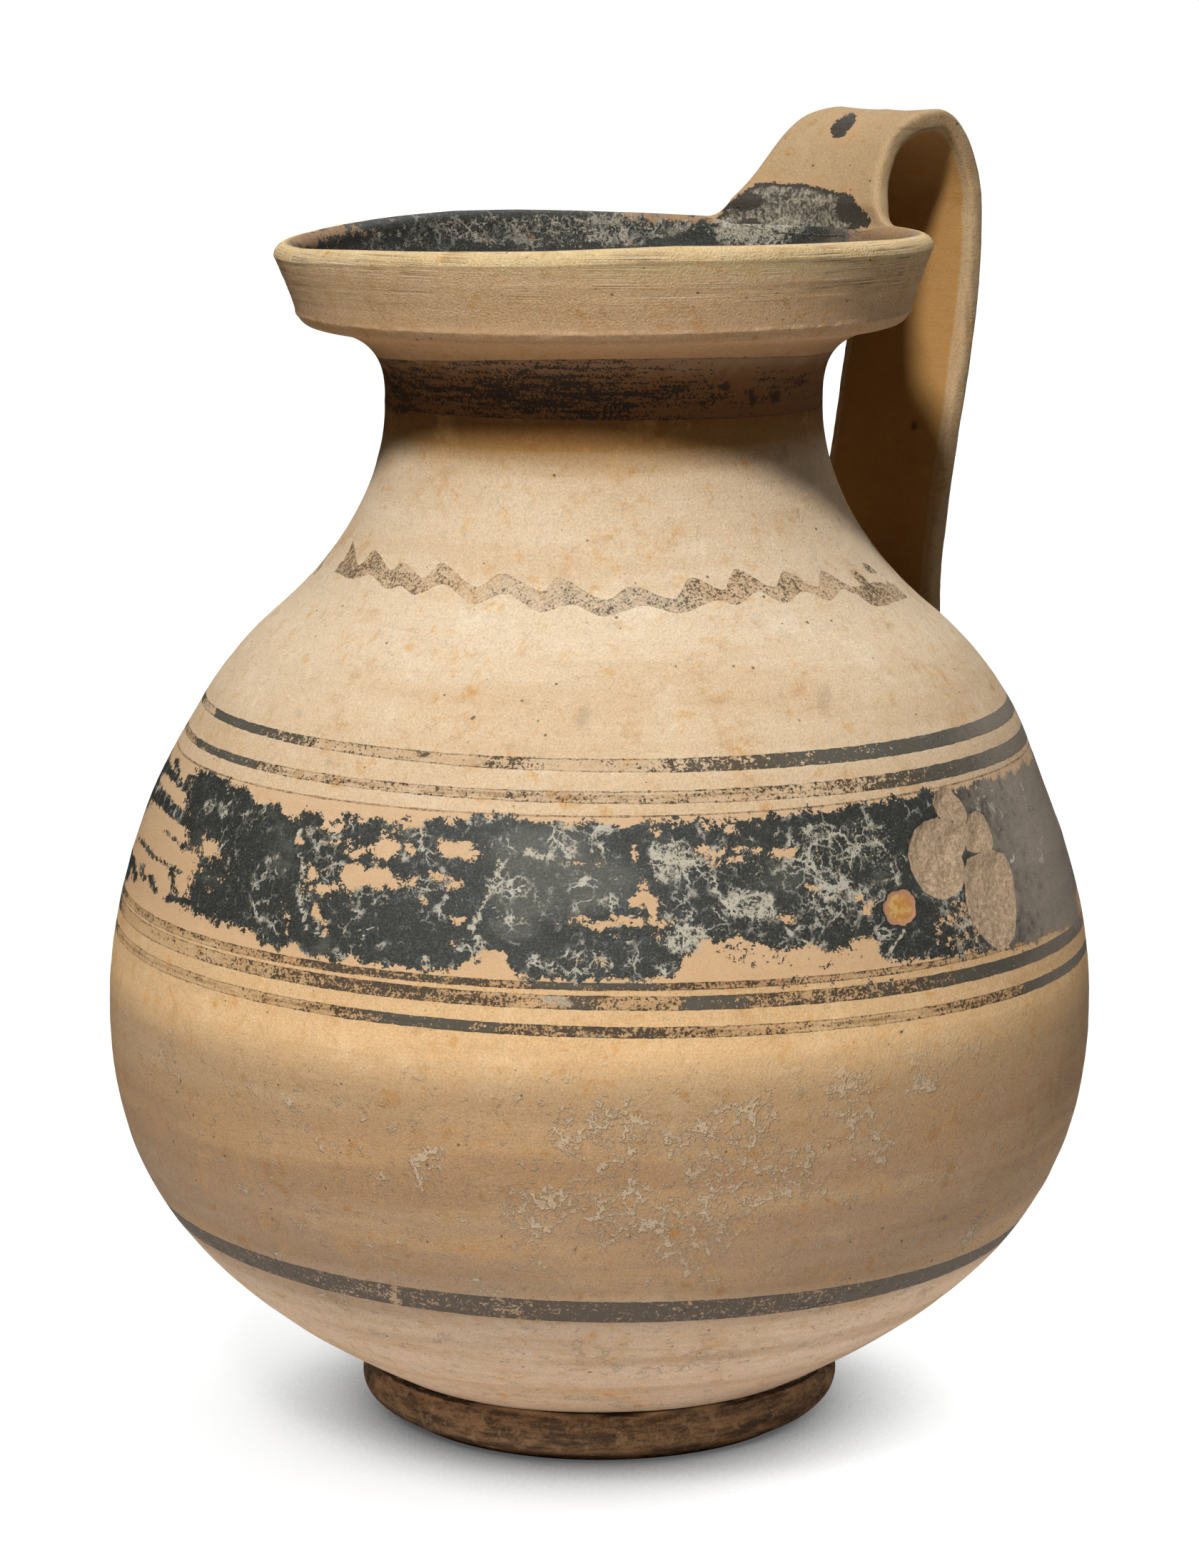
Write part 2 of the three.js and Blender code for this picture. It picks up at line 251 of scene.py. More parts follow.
# Where flakes of the wall have come off the right side of the wide band
SPALLS = (
    ((1318, 1103), (1309, 1111), (1307, 1126), (1312, 1141), (1322, 1149), (1338, 1152), (1355, 1149),
     (1355, 1139), (1345, 1122), (1333, 1108), (1325, 1103)),
    ((1357, 1141), (1367, 1135), (1377, 1141), (1385, 1156), (1391, 1172), (1391, 1187), (1383, 1194),
     (1368, 1195), (1355, 1192), (1352, 1179), (1353, 1159)),
    ((1312, 1146), (1295, 1152), (1282, 1162), (1274, 1179), (1272, 1199), (1277, 1219), (1285, 1235),
     (1295, 1249), (1309, 1258), (1322, 1261), (1338, 1255), (1348, 1245), (1352, 1232), (1352, 1215),
     (1347, 1202), (1352, 1189), (1355, 1172), (1355, 1156), (1352, 1149), (1332, 1152)),
    ((1355, 1204), (1372, 1197), (1391, 1192), (1405, 1195), (1413, 1207), (1418, 1225), (1421, 1249),
     (1424, 1272), (1424, 1295), (1421, 1312), (1413, 1325), (1403, 1331), (1391, 1326), (1380, 1317),
     (1368, 1302), (1358, 1282), (1353, 1258), (1351, 1235), (1352, 1219)),
)
STONE = (1261, 1272, 23, 25)

# The wide band's flaked edges
BAND_TOP = (
    (262, 1092), (285, 1083), (300, 1086), (325, 1096), (345, 1104), (351, 1112), (354, 1130),
    (365, 1133), (380, 1126), (394, 1128), (398, 1142), (410, 1146), (424, 1146), (428, 1135),
    (445, 1134), (451, 1150), (472, 1153), (478, 1141), (495, 1142), (510, 1148), (560, 1150),
    (600, 1153), (650, 1153), (654, 1144), (700, 1142), (748, 1146), (754, 1152), (860, 1155),
    (880, 1158), (930, 1155), (1000, 1150), (1060, 1146), (1100, 1140), (1150, 1134), (1200, 1127),
    (1250, 1119), (1300, 1109), (1350, 1103), (1400, 1090), (1440, 1069), (1470, 1045),
)
BAND_BOTTOM = (
    (225, 1250), (233, 1255), (262, 1275), (280, 1286), (300, 1291), (330, 1295), (345, 1304),
    (350, 1296), (358, 1304), (370, 1318), (385, 1328), (400, 1331), (410, 1322), (420, 1336),
    (455, 1343), (470, 1346), (490, 1340), (520, 1351), (560, 1354), (600, 1358), (645, 1358),
    (657, 1345), (672, 1329), (690, 1334), (708, 1348), (716, 1362), (740, 1369), (770, 1374),
    (800, 1377), (830, 1373), (870, 1373), (905, 1376), (940, 1366), (960, 1350), (966, 1335),
    (985, 1326), (1010, 1321), (1035, 1313), (1060, 1322), (1100, 1329), (1140, 1325), (1160, 1336),
    (1185, 1336), (1207, 1318), (1230, 1324), (1243, 1348), (1268, 1349), (1290, 1345), (1330, 1345),
    (1390, 1335), (1425, 1326), (1450, 1318), (1490, 1298),
)

# Patches bare of black: across, down and half sizes
BARE = (
    (500, 1192, 17, 7), (540, 1187, 20, 17), (495, 1226, 21, 19), (530, 1227, 22, 14), (552, 1237, 12, 8),
    (437, 1226, 7, 8), (448, 1247, 22, 7), (265, 1203, 11, 19), (290, 1185, 12, 15), (397, 1281, 3, 9),
    (403, 1295, 3, 8), (445, 1278, 6, 8), (455, 1303, 5, 9), (575, 1192, 11, 7), (636, 1192, 29, 11),
    (657, 1200, 12, 10), (613, 1229, 9, 7), (636, 1237, 10, 9), (577, 1233, 10, 6), (595, 1262, 4, 6),
    (640, 1290, 6, 4), (634, 1324, 4, 4), (804, 1195, 5, 4), (806, 1210, 12, 5), (830, 1211, 7, 4),
    (904, 1240, 8, 8), (900, 1260, 18, 10), (915, 1278, 8, 17), (870, 1291, 50, 5), (918, 1167, 4, 4),
    (887, 1195, 4, 7), (987, 1194, 12, 6), (1010, 1192, 7, 7), (1024, 1205, 15, 5), (995, 1206, 6, 4),
    (1061, 1191, 11, 4), (1033, 1190, 8, 4), (1097, 1196, 19, 7), (1097, 1289, 23, 6), (1136, 1247, 6, 4),
    (998, 1161, 8, 3), (1027, 1158, 13, 3), (1245, 1235, 4, 3), (1218, 1275, 6, 5), (1205, 1255, 5, 4),
    (845, 1296, 20, 5), (470, 1155, 13, 6), (433, 1160, 5, 3), (478, 1178, 12, 4), (418, 1181, 4, 4),
)
# Zones where the black is broken into specks: across, down, half sizes and how much has gone
WORN = (
    (1350, 1300, 55, 50, 0.62), (1200, 1330, 60, 25, 0.4), (1000, 1345, 60, 30, 0.5),
    (835, 1345, 35, 14, 0.42), (690, 1350, 35, 18, 0.35), (1150, 1185, 60, 30, 0.25),
    (440, 1230, 45, 60, 0.3), (290, 1215, 45, 55, 0.35), (560, 1170, 50, 30, 0.3),
    (1225, 1290, 40, 40, 0.35), (910, 1300, 90, 40, 0.2), (1180, 1250, 60, 40, 0.2),
    (475, 1270, 40, 40, 0.22),
)
# Zones of bare clay with specks of black left on it: across, down, half sizes and least cover
SPECKED = (
    (1100, 1338, 160, 30, 0.2), (1340, 1305, 75, 60, 0.3), (640, 1345, 60, 24, 0.12),
    (580, 1200, 160, 50, 0.02), (1180, 1375, 160, 18, 0.12), (1020, 1195, 120, 25, 0.05),
)
# Brush ends at the band's left end: half width, then the stroke's places
STROKES = (
    (5, (232, 1075), (250, 1096), (272, 1117), (292, 1124)),
    (10, (217, 1105), (236, 1130), (262, 1150), (285, 1160)), (2, (234, 1166), (256, 1186)),
    (2.5, (193, 1172), (215, 1200), (252, 1222)), (3, (186, 1203), (190, 1233)),
    (3, (199, 1212), (202, 1230)), (3, (211, 1228), (216, 1248)), (3.5, (240, 1216), (244, 1250)),
    (3, (248, 1066), (250, 1086)), (4, (265, 1088), (275, 1090)),
    (5, (236, 1258), (262, 1262), (290, 1268)),
)
# Pale rubbed chalk over the black: across, down, half sizes and strength
RIM_CHALK = (
    (760, 325, 230, 30, 0.62), (900, 310, 110, 30, 0.6), (560, 335, 80, 24, 0.55),
    (1060, 300, 90, 60, 0.9),
)
CLOUDS = (
    (1075, 1262, 235, 100, 0.42), (1180, 1215, 130, 70, 0.48), (760, 1250, 160, 75, 0.36),
    (560, 1240, 70, 60, 0.34), (330, 1180, 60, 80, 0.34),
)
CHALK = (
    (940, 1205, 45, 42, 0.8), (755, 1200, 32, 9, 0.95), (745, 1196, 16, 8, 0.9), (700, 1212, 8, 13, 0.8),
    (690, 1183, 9, 14, 0.75), (590, 1162, 26, 20, 0.5), (580, 1245, 40, 25, 0.5),
    (600, 1345, 10, 14, 0.7), (800, 1350, 80, 24, 0.55), (960, 1315, 50, 30, 0.75),
    (1050, 1268, 62, 32, 0.75), (850, 1163, 25, 11, 0.7), (1150, 1170, 42, 24, 0.6),
    (1210, 1180, 55, 50, 0.6), (1240, 1210, 40, 40, 0.5), (845, 1190, 14, 8, 0.6),
    (860, 1265, 15, 22, 0.6), (290, 1130, 16, 14, 0.7), (470, 1165, 10, 14, 0.7),
    (645, 1260, 22, 16, 0.4), (760, 1262, 35, 25, 0.4), (1165, 1285, 30, 22, 0.6),
    (350, 1225, 18, 10, 0.4), (535, 1262, 20, 12, 0.5), (780, 1403, 30, 9, 0.9), (825, 1450, 28, 8, 0.6),
    (958, 1395, 6, 70, 0.6), (1220, 1300, 30, 30, 0.3), (1195, 1375, 45, 15, 0.5),
    (1245, 1315, 12, 25, 0.5), (1205, 1422, 50, 8, 0.5), (1090, 1190, 60, 60, 0.2),
)
# Scratches and streaks of chalk: half width, then the stroke's places
SCRATCHES = (
    (3.5, (700, 1222), (690, 1245), (672, 1280), (667, 1300), (676, 1330)), (3, (690, 1245), (658, 1300)),
    (3, (416, 1165), (420, 1240), (428, 1300)), (1.5, (428, 1308), (470, 1310)),
    (1.5, (500, 1303), (530, 1296)), (1.5, (318, 1105), (322, 1125), (312, 1145)),
    (1.5, (730, 1290), (690, 1275)), (1.2, (1430, 1092), (1441, 1138)), (1.2, (1416, 1180), (1418, 1208)),
    (1.2, (1452, 1150), (1462, 1210)), (1, (1398, 1110), (1380, 1120)), (1.5, (500, 1340), (505, 1310)),
    (2.5, (1262, 1300), (1245, 1345)), (1.5, (855, 1310), (900, 1275)), (1.5, (1215, 1160), (1250, 1200)),
    (1.5, (1130, 1215), (1160, 1260)),
)
# The zone at 1470 across, by the band's right edge, greys the black as a painted sheen.
GREY_AND_SHEEN_ZONES = (
    (760, 1195, 95, 52), (740, 1255, 70, 45), (830, 1235, 80, 45), (1470, 1200, 70, 130),
    (720, 1300, 45, 22),
)
# The wavy line on the shoulder: places along its upper and its lower edge, and its small leaves
WAVE_TOP = (
    (468, 801), (480, 786), (488, 774), (495, 757), (501, 792), (525, 771), (549, 799), (563, 787),
    (594, 809), (618, 789), (668, 822), (703, 803), (761, 828), (780, 809), (850, 840), (884, 821),
    (945, 839), (968, 809), (1015, 826), (1028, 797), (1086, 822), (1097, 800), (1147, 822), (1149, 799),
    (1198, 822), (1230, 815), (1275, 835),
)
WAVE_BOTTOM = (
    (468, 802), (492, 812), (519, 806), (542, 826), (562, 822), (580, 834), (621, 819), (664, 847),
    (705, 833), (760, 858), (800, 847), (845, 864), (905, 849), (950, 860), (1007, 842), (1032, 848),
    (1062, 830), (1101, 845), (1126, 829), (1163, 842), (1181, 826), (1200, 832), (1232, 850),
    (1275, 838),
)
LEAVES = (
    ((1188, 797), (1200, 800), (1214, 812), (1222, 823), (1205, 818), (1194, 807)),
    ((1198, 824), (1212, 826), (1226, 838), (1233, 850), (1221, 848), (1206, 838)),
    ((1222, 815), (1236, 822), (1248, 832), (1254, 841), (1240, 835), (1228, 826)),
    ((1206, 786), (1217, 790), (1230, 804), (1219, 804), (1210, 795)),
    ((1240, 812), (1255, 820), (1270, 834), (1255, 830), (1244, 822)),
)
# How solid each painted line is along the photograph: heights between, then places and amounts
LINE_STATES = {
    "shoulder 1": (144.9, 152.0, (
        (300, 0.2), (304, 1.0), (350, 0.95), (356, 0.75), (425, 0.6), (440, 0.3), (560, 0.22),
        (680, 0.12), (690, 0.5), (720, 0.45), (760, 0.15), (880, 0.2), (930, 0.4), (965, 0.62),
        (1060, 0.64), (1150, 0.8), (1300, 0.95), (1450, 1.1),
    )),
    "shoulder 2": (139.4, 144.9, (
        (270, 0.2), (285, 0.85), (350, 0.8), (362, 0.45), (420, 0.34), (600, 0.26), (690, 0.2),
        (705, 0.36), (730, 0.34), (760, 0.24), (900, 0.24), (1000, 0.3), (1100, 0.36), (1160, 0.42),
        (1200, 0.5), (1280, 0.75), (1330, 0.85), (1450, 0.9),
    )),
    "brown": (108.6, 112.5, (
        (170, 0.35), (400, 0.4), (430, 0.6), (650, 0.62), (700, 0.45), (760, 0.75), (900, 0.75),
        (960, 0.5), (1100, 0.35), (1400, 0.3), (1480, 0.4),
    )),
    "speckled": (103.9, 108.6, (
        (200, 0.12), (300, 0.25), (380, 0.4), (450, 0.55), (560, 0.58), (640, 0.55), (720, 0.4),
        (745, 0.2), (790, 0.4), (800, 0.75), (830, 0.7), (850, 0.4), (945, 0.42), (955, 0.85),
        (1040, 0.75), (1060, 0.55), (1200, 0.5), (1240, 0.7), (1260, 0.55), (1310, 0.7), (1400, 0.85),
        (1480, 1.0),
    )),
    "below band": (97.0, 103.9, (
        (160, 0.15), (330, 0.2), (440, 0.35), (500, 0.6), (560, 0.8), (690, 0.75), (705, 0.5), (760, 0.6),
        (900, 0.55), (960, 0.4), (1060, 0.35), (1140, 0.2), (1280, 0.25), (1430, 0.5), (1445, 1.0),
        (1500, 1.1),
    )),
    "lower": (30.0, 60.0, (
        (250, 0.8), (440, 0.75), (545, 0.7), (550, 0.25), (558, 0.3), (564, 0.72), (700, 0.66),
        (715, 0.56), (780, 0.8), (900, 0.8), (960, 0.68), (1060, 0.72), (1100, 0.68), (1170, 0.72),
        (1200, 0.85), (1400, 0.9),
    )),
    "neck": (200.0, 225.0, (
        (540, 0.5), (580, 0.45), (640, 0.42), (700, 0.55), (840, 0.58), (900, 0.42), (960, 0.36),
        (1020, 0.2), (1150, 0.15),
    )),
}
# Small dark marks and stains: across, down, half sizes and darkness
BLOTS = (
    (817, 1008, 11, 19, 0.45), (1157, 982, 11, 26, 0.35), (463, 1070, 8, 8, 0.4),
    (418, 1000, 7, 11, 0.35), (343, 1357, 3, 7, 0.9), (738, 361, 3, 2, 0.7), (1021, 541, 7, 9, 1.2),
    (1052, 556, 9, 13, 1.2), (1089, 553, 12, 13, 0.8), (568, 555, 8, 10, 0.9), (565, 572, 24, 7, 1.0),
    (803, 1752, 4, 4, 0.7), (820, 1763, 4, 4, 0.7), (596, 1060, 8, 5, 0.9), (1264, 1446, 3, 3, 1.0),
    (888, 1628, 8, 8, 0.5), (790, 565, 90, 7, 0.35), (1120, 660, 38, 26, 0.28), (1097, 640, 5, 14, 0.4),
    (1115, 720, 3, 8, 0.5), (735, 1806, 7, 3, 0.9), (348, 1670, 3, 6, 0.4), (1281, 990, 6, 4, 0.35),
    (640, 447, 6, 4, 0.5),
)
# The black at the handle's root, and the marks on the strap
ROOT_BLACK = (
    (978, 350), (992, 325), (1020, 285), (1045, 266), (1062, 257), (1085, 255), (1110, 258), (1130, 259),
    (1165, 267), (1192, 272), (1200, 284), (1214, 300), (1221, 311), (1214, 319), (1196, 319),
    (1186, 329), (1184, 345),
)
ROOT_SOLID = ((1050, 320, 17, 13), (1190, 292, 18, 20), (1206, 308, 12, 10), (1040, 282, 30, 12))
CREST_BLOT = (
    (1163, 183), (1168, 173), (1180, 164), (1192, 158), (1201, 162), (1197, 172), (1188, 184),
    (1178, 192), (1168, 194),
)
RIM_BARE = ((425, 334, 30, 11), (470, 322, 40, 5), (935, 304, 60, 7), (1248, 328, 62, 15), (880, 300, 22, 4))
STRAP_BLOTS = (
    (1281, 597, 6, 8, 1.2), (1355, 440, 4, 38, 0.35), (1272, 180, 22, 3, 0.5), (1255, 328, 18, 2, 0.9),
)

STROKE_CRISP, BARE_CRISP, RIM_BARE_CRISP, ROOT_CRISP = 2.5, 1.4, 1.5, 1.6
BAND_LEFT, LEAST_COVER, LEAST_CHALK, SCRATCH_CHALK = 262, -0.15, 0.24, 0.9
# Pixels across over which the chalk gives way to the smooth right side
SMOOTH_RIGHT, SMOOTH_RIGHT_LOSS = (1375, 1420), 0.3
# Heights between which the band's black and the wavy line may lie, and the rim's depth for its black
BAND_HEIGHTS, WAVE_HEIGHTS, RIM_DEPTH, RIM_BLACK_DEPTH = (100, 142), (165, 190), 22, 19
# No field goes further than this many millimetres from an edge
FAR = 2.0


def inside_mark(spot, mark):
    """How far inside an elliptical mark, from 0 on its rim to 1 in its middle. Below 0 is outside."""
    x, y, wide, tall = mark
    return 1 - np.hypot((spot[0] - x) / wide, (spot[1] - y) / tall)


def mark_depth(spot, mark):
    """Millimetres inside an elliptical mark's rim, below 0 outside."""
    return inside_mark(spot, mark) * min(mark[2:]) / PIXELS_PER_MM


def strongest(spot, marks, low, high, least=0.0):
    """The greatest strength of marks that begin at low and are full at high, as shares of the way in."""
    found = np.full(spot[0].shape, least)
    for *mark, strength in marks:
        found = np.maximum(found, strength * smooth(inside_mark(spot, mark), low, high))
    return found


def stroke_distance(spot, places):
    """Pixels from a broken line."""
    across, down = spot
    nearest = np.full(across.shape, np.inf)
    for (x0, y0), (x1, y1) in zip(places, places[1:]):
        wide, tall = x1 - x0, y1 - y0
        share = ((across - x0) * wide + (down - y0) * tall) / (wide * wide + tall * tall)
        share = np.clip(share, 0, 1)
        reach = np.hypot(across - x0 - share * wide, down - y0 - share * tall)
        nearest = np.minimum(nearest, reach)
    return nearest


def shape_depth(spot, corners):
    """Millimetres inside a closed outline, below 0 outside."""
    across, down = spot
    corners = np.array(corners, float)
    nearest = stroke_distance(spot, [*corners, corners[0]])
    within = np.zeros(across.shape, bool)
    for (x0, y0), (x1, y1) in zip(corners, np.roll(corners, -1, axis=0)):
        crosses = (y0 > down) != (y1 > down)
        where = x0 + (down - y0) * (x1 - x0) / (y1 - y0 if y1 != y0 else 1)
        within ^= crosses & (across < where)
    return np.where(within, nearest, -nearest) / PIXELS_PER_MM


def between_edges(spot, top, bottom):
    """Millimetres inside a strip of the photograph, whose edges run smoothly between their places."""
    across, down = spot
    edges = []
    for places in (top, bottom):
        x, y = np.array(places, float).T
        k = np.clip(np.searchsorted(x, across) - 1, 0, len(x) - 2)
        edges.append(y[k] + (y[k + 1] - y[k]) * smooth(across, x[k], x[k + 1]))
    return np.minimum(down - edges[0], edges[1] - down) / PIXELS_PER_MM


def blend(behind, front, seen):
    return behind + (front - behind) * seen


def crisp(distance):
    """A field for the paint: 0.5 on a mark's edge, more inside it, from millimetres inside."""
    return 0.5 + np.clip(distance, -EDGE_REACH, EDGE_REACH) * EDGE_SLOPE


EDGE_REACH, EDGE_SLOPE, SOLID, RAGGED = 2.2, 0.45, 1.2, (5.0, 2.0)
ragged_lumps = [(Lumps(41, 210, 3.0), Lumps(42, 210, 3.0)), (Lumps(43, 330, 1.9), Lumps(44, 330, 1.9))]


def ragged(spot, turn, height):
    """Places in the photograph moved unevenly, so that flaked edges run as unevenly as real ones."""
    for reach, lumps in zip(RAGGED, ragged_lumps):
        spot = [value + reach * uneven(turn, height) for value, uneven in zip(spot, lumps)]
    return spot


back_bare, back_chalk, back_solid = Lumps(31, 26, 7.0), Lumps(32, 34, 9.0), Lumps(33, 14, 8.0)
back_edge = Lumps(34, 60, 400.0)
BACK_TOP, BACK_BOTTOM, BACK_EDGE, BACK_WORN = 137.4, 110.8, 0.9, 1.1
BACK_WAVE_MIDDLE, BACK_WAVE_RISE, BACK_WAVE_HALF, BACK_WAVES, BACK_WAVE_LEAN = 176.5, 2.4, 2.2, 26, 0.8
# How far the lines below the wide band drop to the right, in millimetres
LINE_TILT = 1.5


def band_cover(spot, still, turn, height, seen):
    """How completely the black of the wide band lies, from the photograph in front."""
    edge = np.minimum(between_edges(spot, BAND_TOP, BAND_BOTTOM), (spot[0] - BAND_LEFT) / PIXELS_PER_MM)
    cover = np.minimum(crisp(edge), SOLID)
    for *mark, gone in WORN:
        cover -= gone * smooth(inside_mark(spot, mark), 0, 0.5)
    for *mark, least in SPECKED:
        cover = np.maximum(cover, least - 1.5 * (1 - smooth(inside_mark(spot, mark), 0, 0.4)))
    for half, *places in STROKES:
        depth = (half - stroke_distance(still, places)) / PIXELS_PER_MM
        cover = np.maximum(cover, crisp(depth * STROKE_CRISP))
    for mark in BARE:
        bare = 1 - crisp(mark_depth(spot, mark) * BARE_CRISP)
        cover = np.minimum(cover, np.maximum(bare, LEAST_COVER))
    edge = np.minimum(BACK_TOP - height, height - BACK_BOTTOM) + BACK_EDGE * back_edge(turn, height)
    behind = np.minimum(crisp(edge), SOLID) - BACK_WORN * smooth(back_bare(turn, height), 0.45, 0.75)
    low, high = BAND_HEIGHTS
    return np.where((height > low) & (height < high), blend(behind, cover, seen), -1)


def rim_cover(spot, still, turn, height, inner, seen):
    """How completely the black inside the mouth and at the handle's root lies."""
    start = LIP_BLACK_FAR + (LIP_BLACK_NEAR - LIP_BLACK_FAR) * (0.5 + 0.5 * np.cos(rads(turn)))
    rim = crisp(np.minimum((inner - start) * 12, (height - (POT_HEIGHT - RIM_BLACK_DEPTH)) * 0.4))
    for mark in RIM_BARE:
        bare = 1 - crisp(mark_depth(spot, mark) * RIM_BARE_CRISP)
        rim = np.where(seen > 0.4, np.minimum(rim, bare), rim)
    beyond = (seen > 0.3) & (inner > 0.2) & (np.cos(rads(turn)) < 0)
    root = crisp(shape_depth(still, ROOT_BLACK) * ROOT_CRISP)
    return np.minimum(np.where(beyond, np.maximum(rim, root), rim), RIM_SOLID)


def line_solidity(across, turn, height, seen):
    """How solid the painted line at each height is."""
    level = height + LINE_TILT * np.sin(rads(turn)) * smooth(height, 135, 110)
    solid, behind = np.zeros(across.shape), 0.55 + 0.5 * back_solid(turn, height)
    for low, high, places in LINE_STATES.values():
        here = blend(behind, np.interp(across, *np.array(places).T), seen)
        solid = np.where((level >= low) & (level < high), here, solid)
    return solid


def chalk_amount(spot, turn, height, seen):
    """How much chalk lies on each place, for the shader's noises to break up."""
    chalk = strongest(spot, CHALK + RIM_CHALK + CLOUDS, -0.15, 0.5, LEAST_CHALK)
    for half, *places in SCRATCHES:
        near = 1 - smooth(stroke_distance(spot, places), half * 0.5, half * 1.6)
        chalk = np.maximum(chalk, SCRATCH_CHALK * near)
    chalk -= SMOOTH_RIGHT_LOSS * smooth(spot[0], *SMOOTH_RIGHT) * (chalk < 0.5)
    return blend(0.25 + 0.45 * smooth(back_chalk(turn, height), 0, 0.8), chalk, seen)


def wave_depth(spot, turn, height, seen):
    """Millimetres inside the shoulder's wavy line."""
    inside = between_edges(spot, WAVE_TOP, WAVE_BOTTOM)
    for leaf in LEAVES:
        inside = np.maximum(inside, shape_depth(spot, leaf))
    phase = rads(turn) * BACK_WAVES
    swing = np.sin(phase + BACK_WAVE_LEAN * np.sin(phase))
    behind = BACK_WAVE_HALF - np.abs(height - BACK_WAVE_MIDDLE - BACK_WAVE_RISE * swing)
    low, high = WAVE_HEIGHTS
    return np.where((height > low) & (height < high), blend(behind, inside, seen), -FAR)


WAVE_STRENGTH = (
    (470, 0.78), (500, 0.66), (535, 0.6), (560, 0.55), (630, 0.5), (650, 0.32), (760, 0.38), (840, 0.48),
    (900, 0.5), (960, 0.58), (1015, 0.6), (1040, 0.52), (1110, 0.52), (1150, 0.4), (1195, 0.5),
    (1215, 0.8), (1260, 0.55),
)
# The middle of the flaked places in the photograph, and how far they reach from it
SPALLS_MIDDLE, SPALLS_REACH = (1350, 1217), (90, 130)


def spall_depth(spot, seen):
    """Millimetres inside the flaked places."""
    inside = np.full(spot[0].shape, -9.0)
    aside, away = (abs(value - middle) for value, middle in zip(spot, SPALLS_MIDDLE))
    near = (seen > 0.5) & (aside < SPALLS_REACH[0]) & (away < SPALLS_REACH[1])
    close = [value[near] for value in spot]
    for flake in SPALLS:
        inside[near] = np.maximum(inside[near], shape_depth(close, flake))
    return inside


LIP_BLACK_NEAR, LIP_BLACK_FAR, RIM_SOLID = 0.86, 0.36, 1.0


def pot_fields(still, turn, height, inner, seen):
    """Everything painted on or worn off the pot, as a value at each of its vertices."""
    spot = ragged(still, turn, height)
    at_rim, outer = height > POT_HEIGHT - RIM_DEPTH, inner < 0.3
    cover = band_cover(spot, still, turn, height, seen)
    rim = np.maximum(cover, rim_cover(spot, still, turn, height, inner, seen))
    grey = np.max([smooth(inside_mark(spot, zone), 0, 0.5) for zone in GREY_AND_SHEEN_ZONES], axis=0)
    return {
        "cover": np.where(at_rim, rim, np.where(outer, cover, -1)),
        "solid": line_solidity(spot[0], turn, height, seen),
        "chalk": chalk_amount(spot, turn, height, seen),
        "grey": grey * seen,
        "wave": np.where(outer, np.clip(wave_depth(still, turn, height, seen), -FAR, FAR), -FAR),
        "wave_dark": blend(0.5, np.interp(spot[0], *np.array(WAVE_STRENGTH).T), seen),
        "blots": strongest(spot, BLOTS, -0.2, 0.6) * (seen > 0.5) * outer,
        "spall": np.clip(spall_depth(still, seen), -FAR, FAR),
        "stone": np.where(seen > 0.5, np.clip(mark_depth(still, STONE), -FAR, FAR), -FAR),
        "inner": inner,
    }


STRAP_ROOT_CRISP, STRAP_BLOT_CRISP, MARGIN_WIDTH = 2.0, 3.0, 3.5


def strap_fields(spot, seen, inner):
    """The marks on the handle, as a value at each of its vertices."""
    root, blot = shape_depth(spot, ROOT_BLACK), shape_depth(spot, CREST_BLOT)
    cover = np.maximum(np.minimum(crisp(root * STRAP_ROOT_CRISP), SOLID), crisp(blot * STRAP_BLOT_CRISP))
    patches = [smooth(inside_mark(spot, mark), -0.2, 0.3) for mark in ROOT_SOLID]
    return {
        "cover": np.where(seen > 0.3, cover, -1),
        "solid": np.max([smooth(-root, -1.0, 0.0), smooth(blot, -0.3, 0.3), *patches], axis=0),
        "blots": strongest(spot, STRAP_BLOTS, -0.2, 0.6) * seen,
        "margin": np.clip(1 + np.maximum(root, blot) / MARGIN_WIDTH, 0, 1) * seen,
        "inner": inner,
    }


# Meshes


def make_object(name, points, faces, material):
    mesh = bpy.data.meshes.new(name)
    mesh.from_pydata((points * MM).tolist(), [], faces)
    mesh.polygons.foreach_set("use_smooth", [True] * len(mesh.polygons))
    mesh.materials.append(material)
    made = bpy.data.objects.new(name, mesh)
    bpy.context.scene.collection.objects.link(made)
    return made


# Shares of facing the camera at which the photograph starts to count and counts fully
FACING = (0.02, 0.2)


def facing(mesh, points):
    """How far each vertex faces the camera: 0 from the edge of what it sees on, then up to 1."""
    normals = np.empty(len(mesh.vertices) * 3)
    mesh.vertex_normals.foreach_get("vector", normals)
    return smooth((normals.reshape(-1, 3) * unit(camera_at - points)).sum(1), *FACING)


def set_fields(mesh, fields):
    for name, values in fields.items():
        layer = mesh.attributes.new(name, "FLOAT", "POINT")
        layer.data.foreach_set("value", np.ascontiguousarray(values, np.float32))


FRONT_HALF, FRONT_STEP, BACK_STEP = 94.0, 0.55, 1.4
SPALL_TURNS, SPALL_STEP = (34.5, 54.0), 0.22


def column_turns():
    """Turns of the columns of vertices: close together in front, closest across the spalls."""
    front = np.arange(-FRONT_HALF, FRONT_HALF, FRONT_STEP)
    low, high = SPALL_TURNS
    front = front[(front < low) | (front >= high)]
    fine = np.arange(low, high, SPALL_STEP)
    back = np.arange(FRONT_HALF, 360 - FRONT_HALF, BACK_STEP)
    return np.sort(np.concatenate([front, fine, back]))


turns = column_turns()


def spaced(length, step, finer=()):
    """Distances from 0 to length about a step apart, and closer within each (low, high, step)."""
    places = [0.0]
    while places[-1] < length:
        here = step
        for low, high, small in finer:
            if low <= places[-1] <= high:
                here = min(here, small)
        places.append(places[-1] + here)
    places = np.array(places)
    return places * length / places[-1]


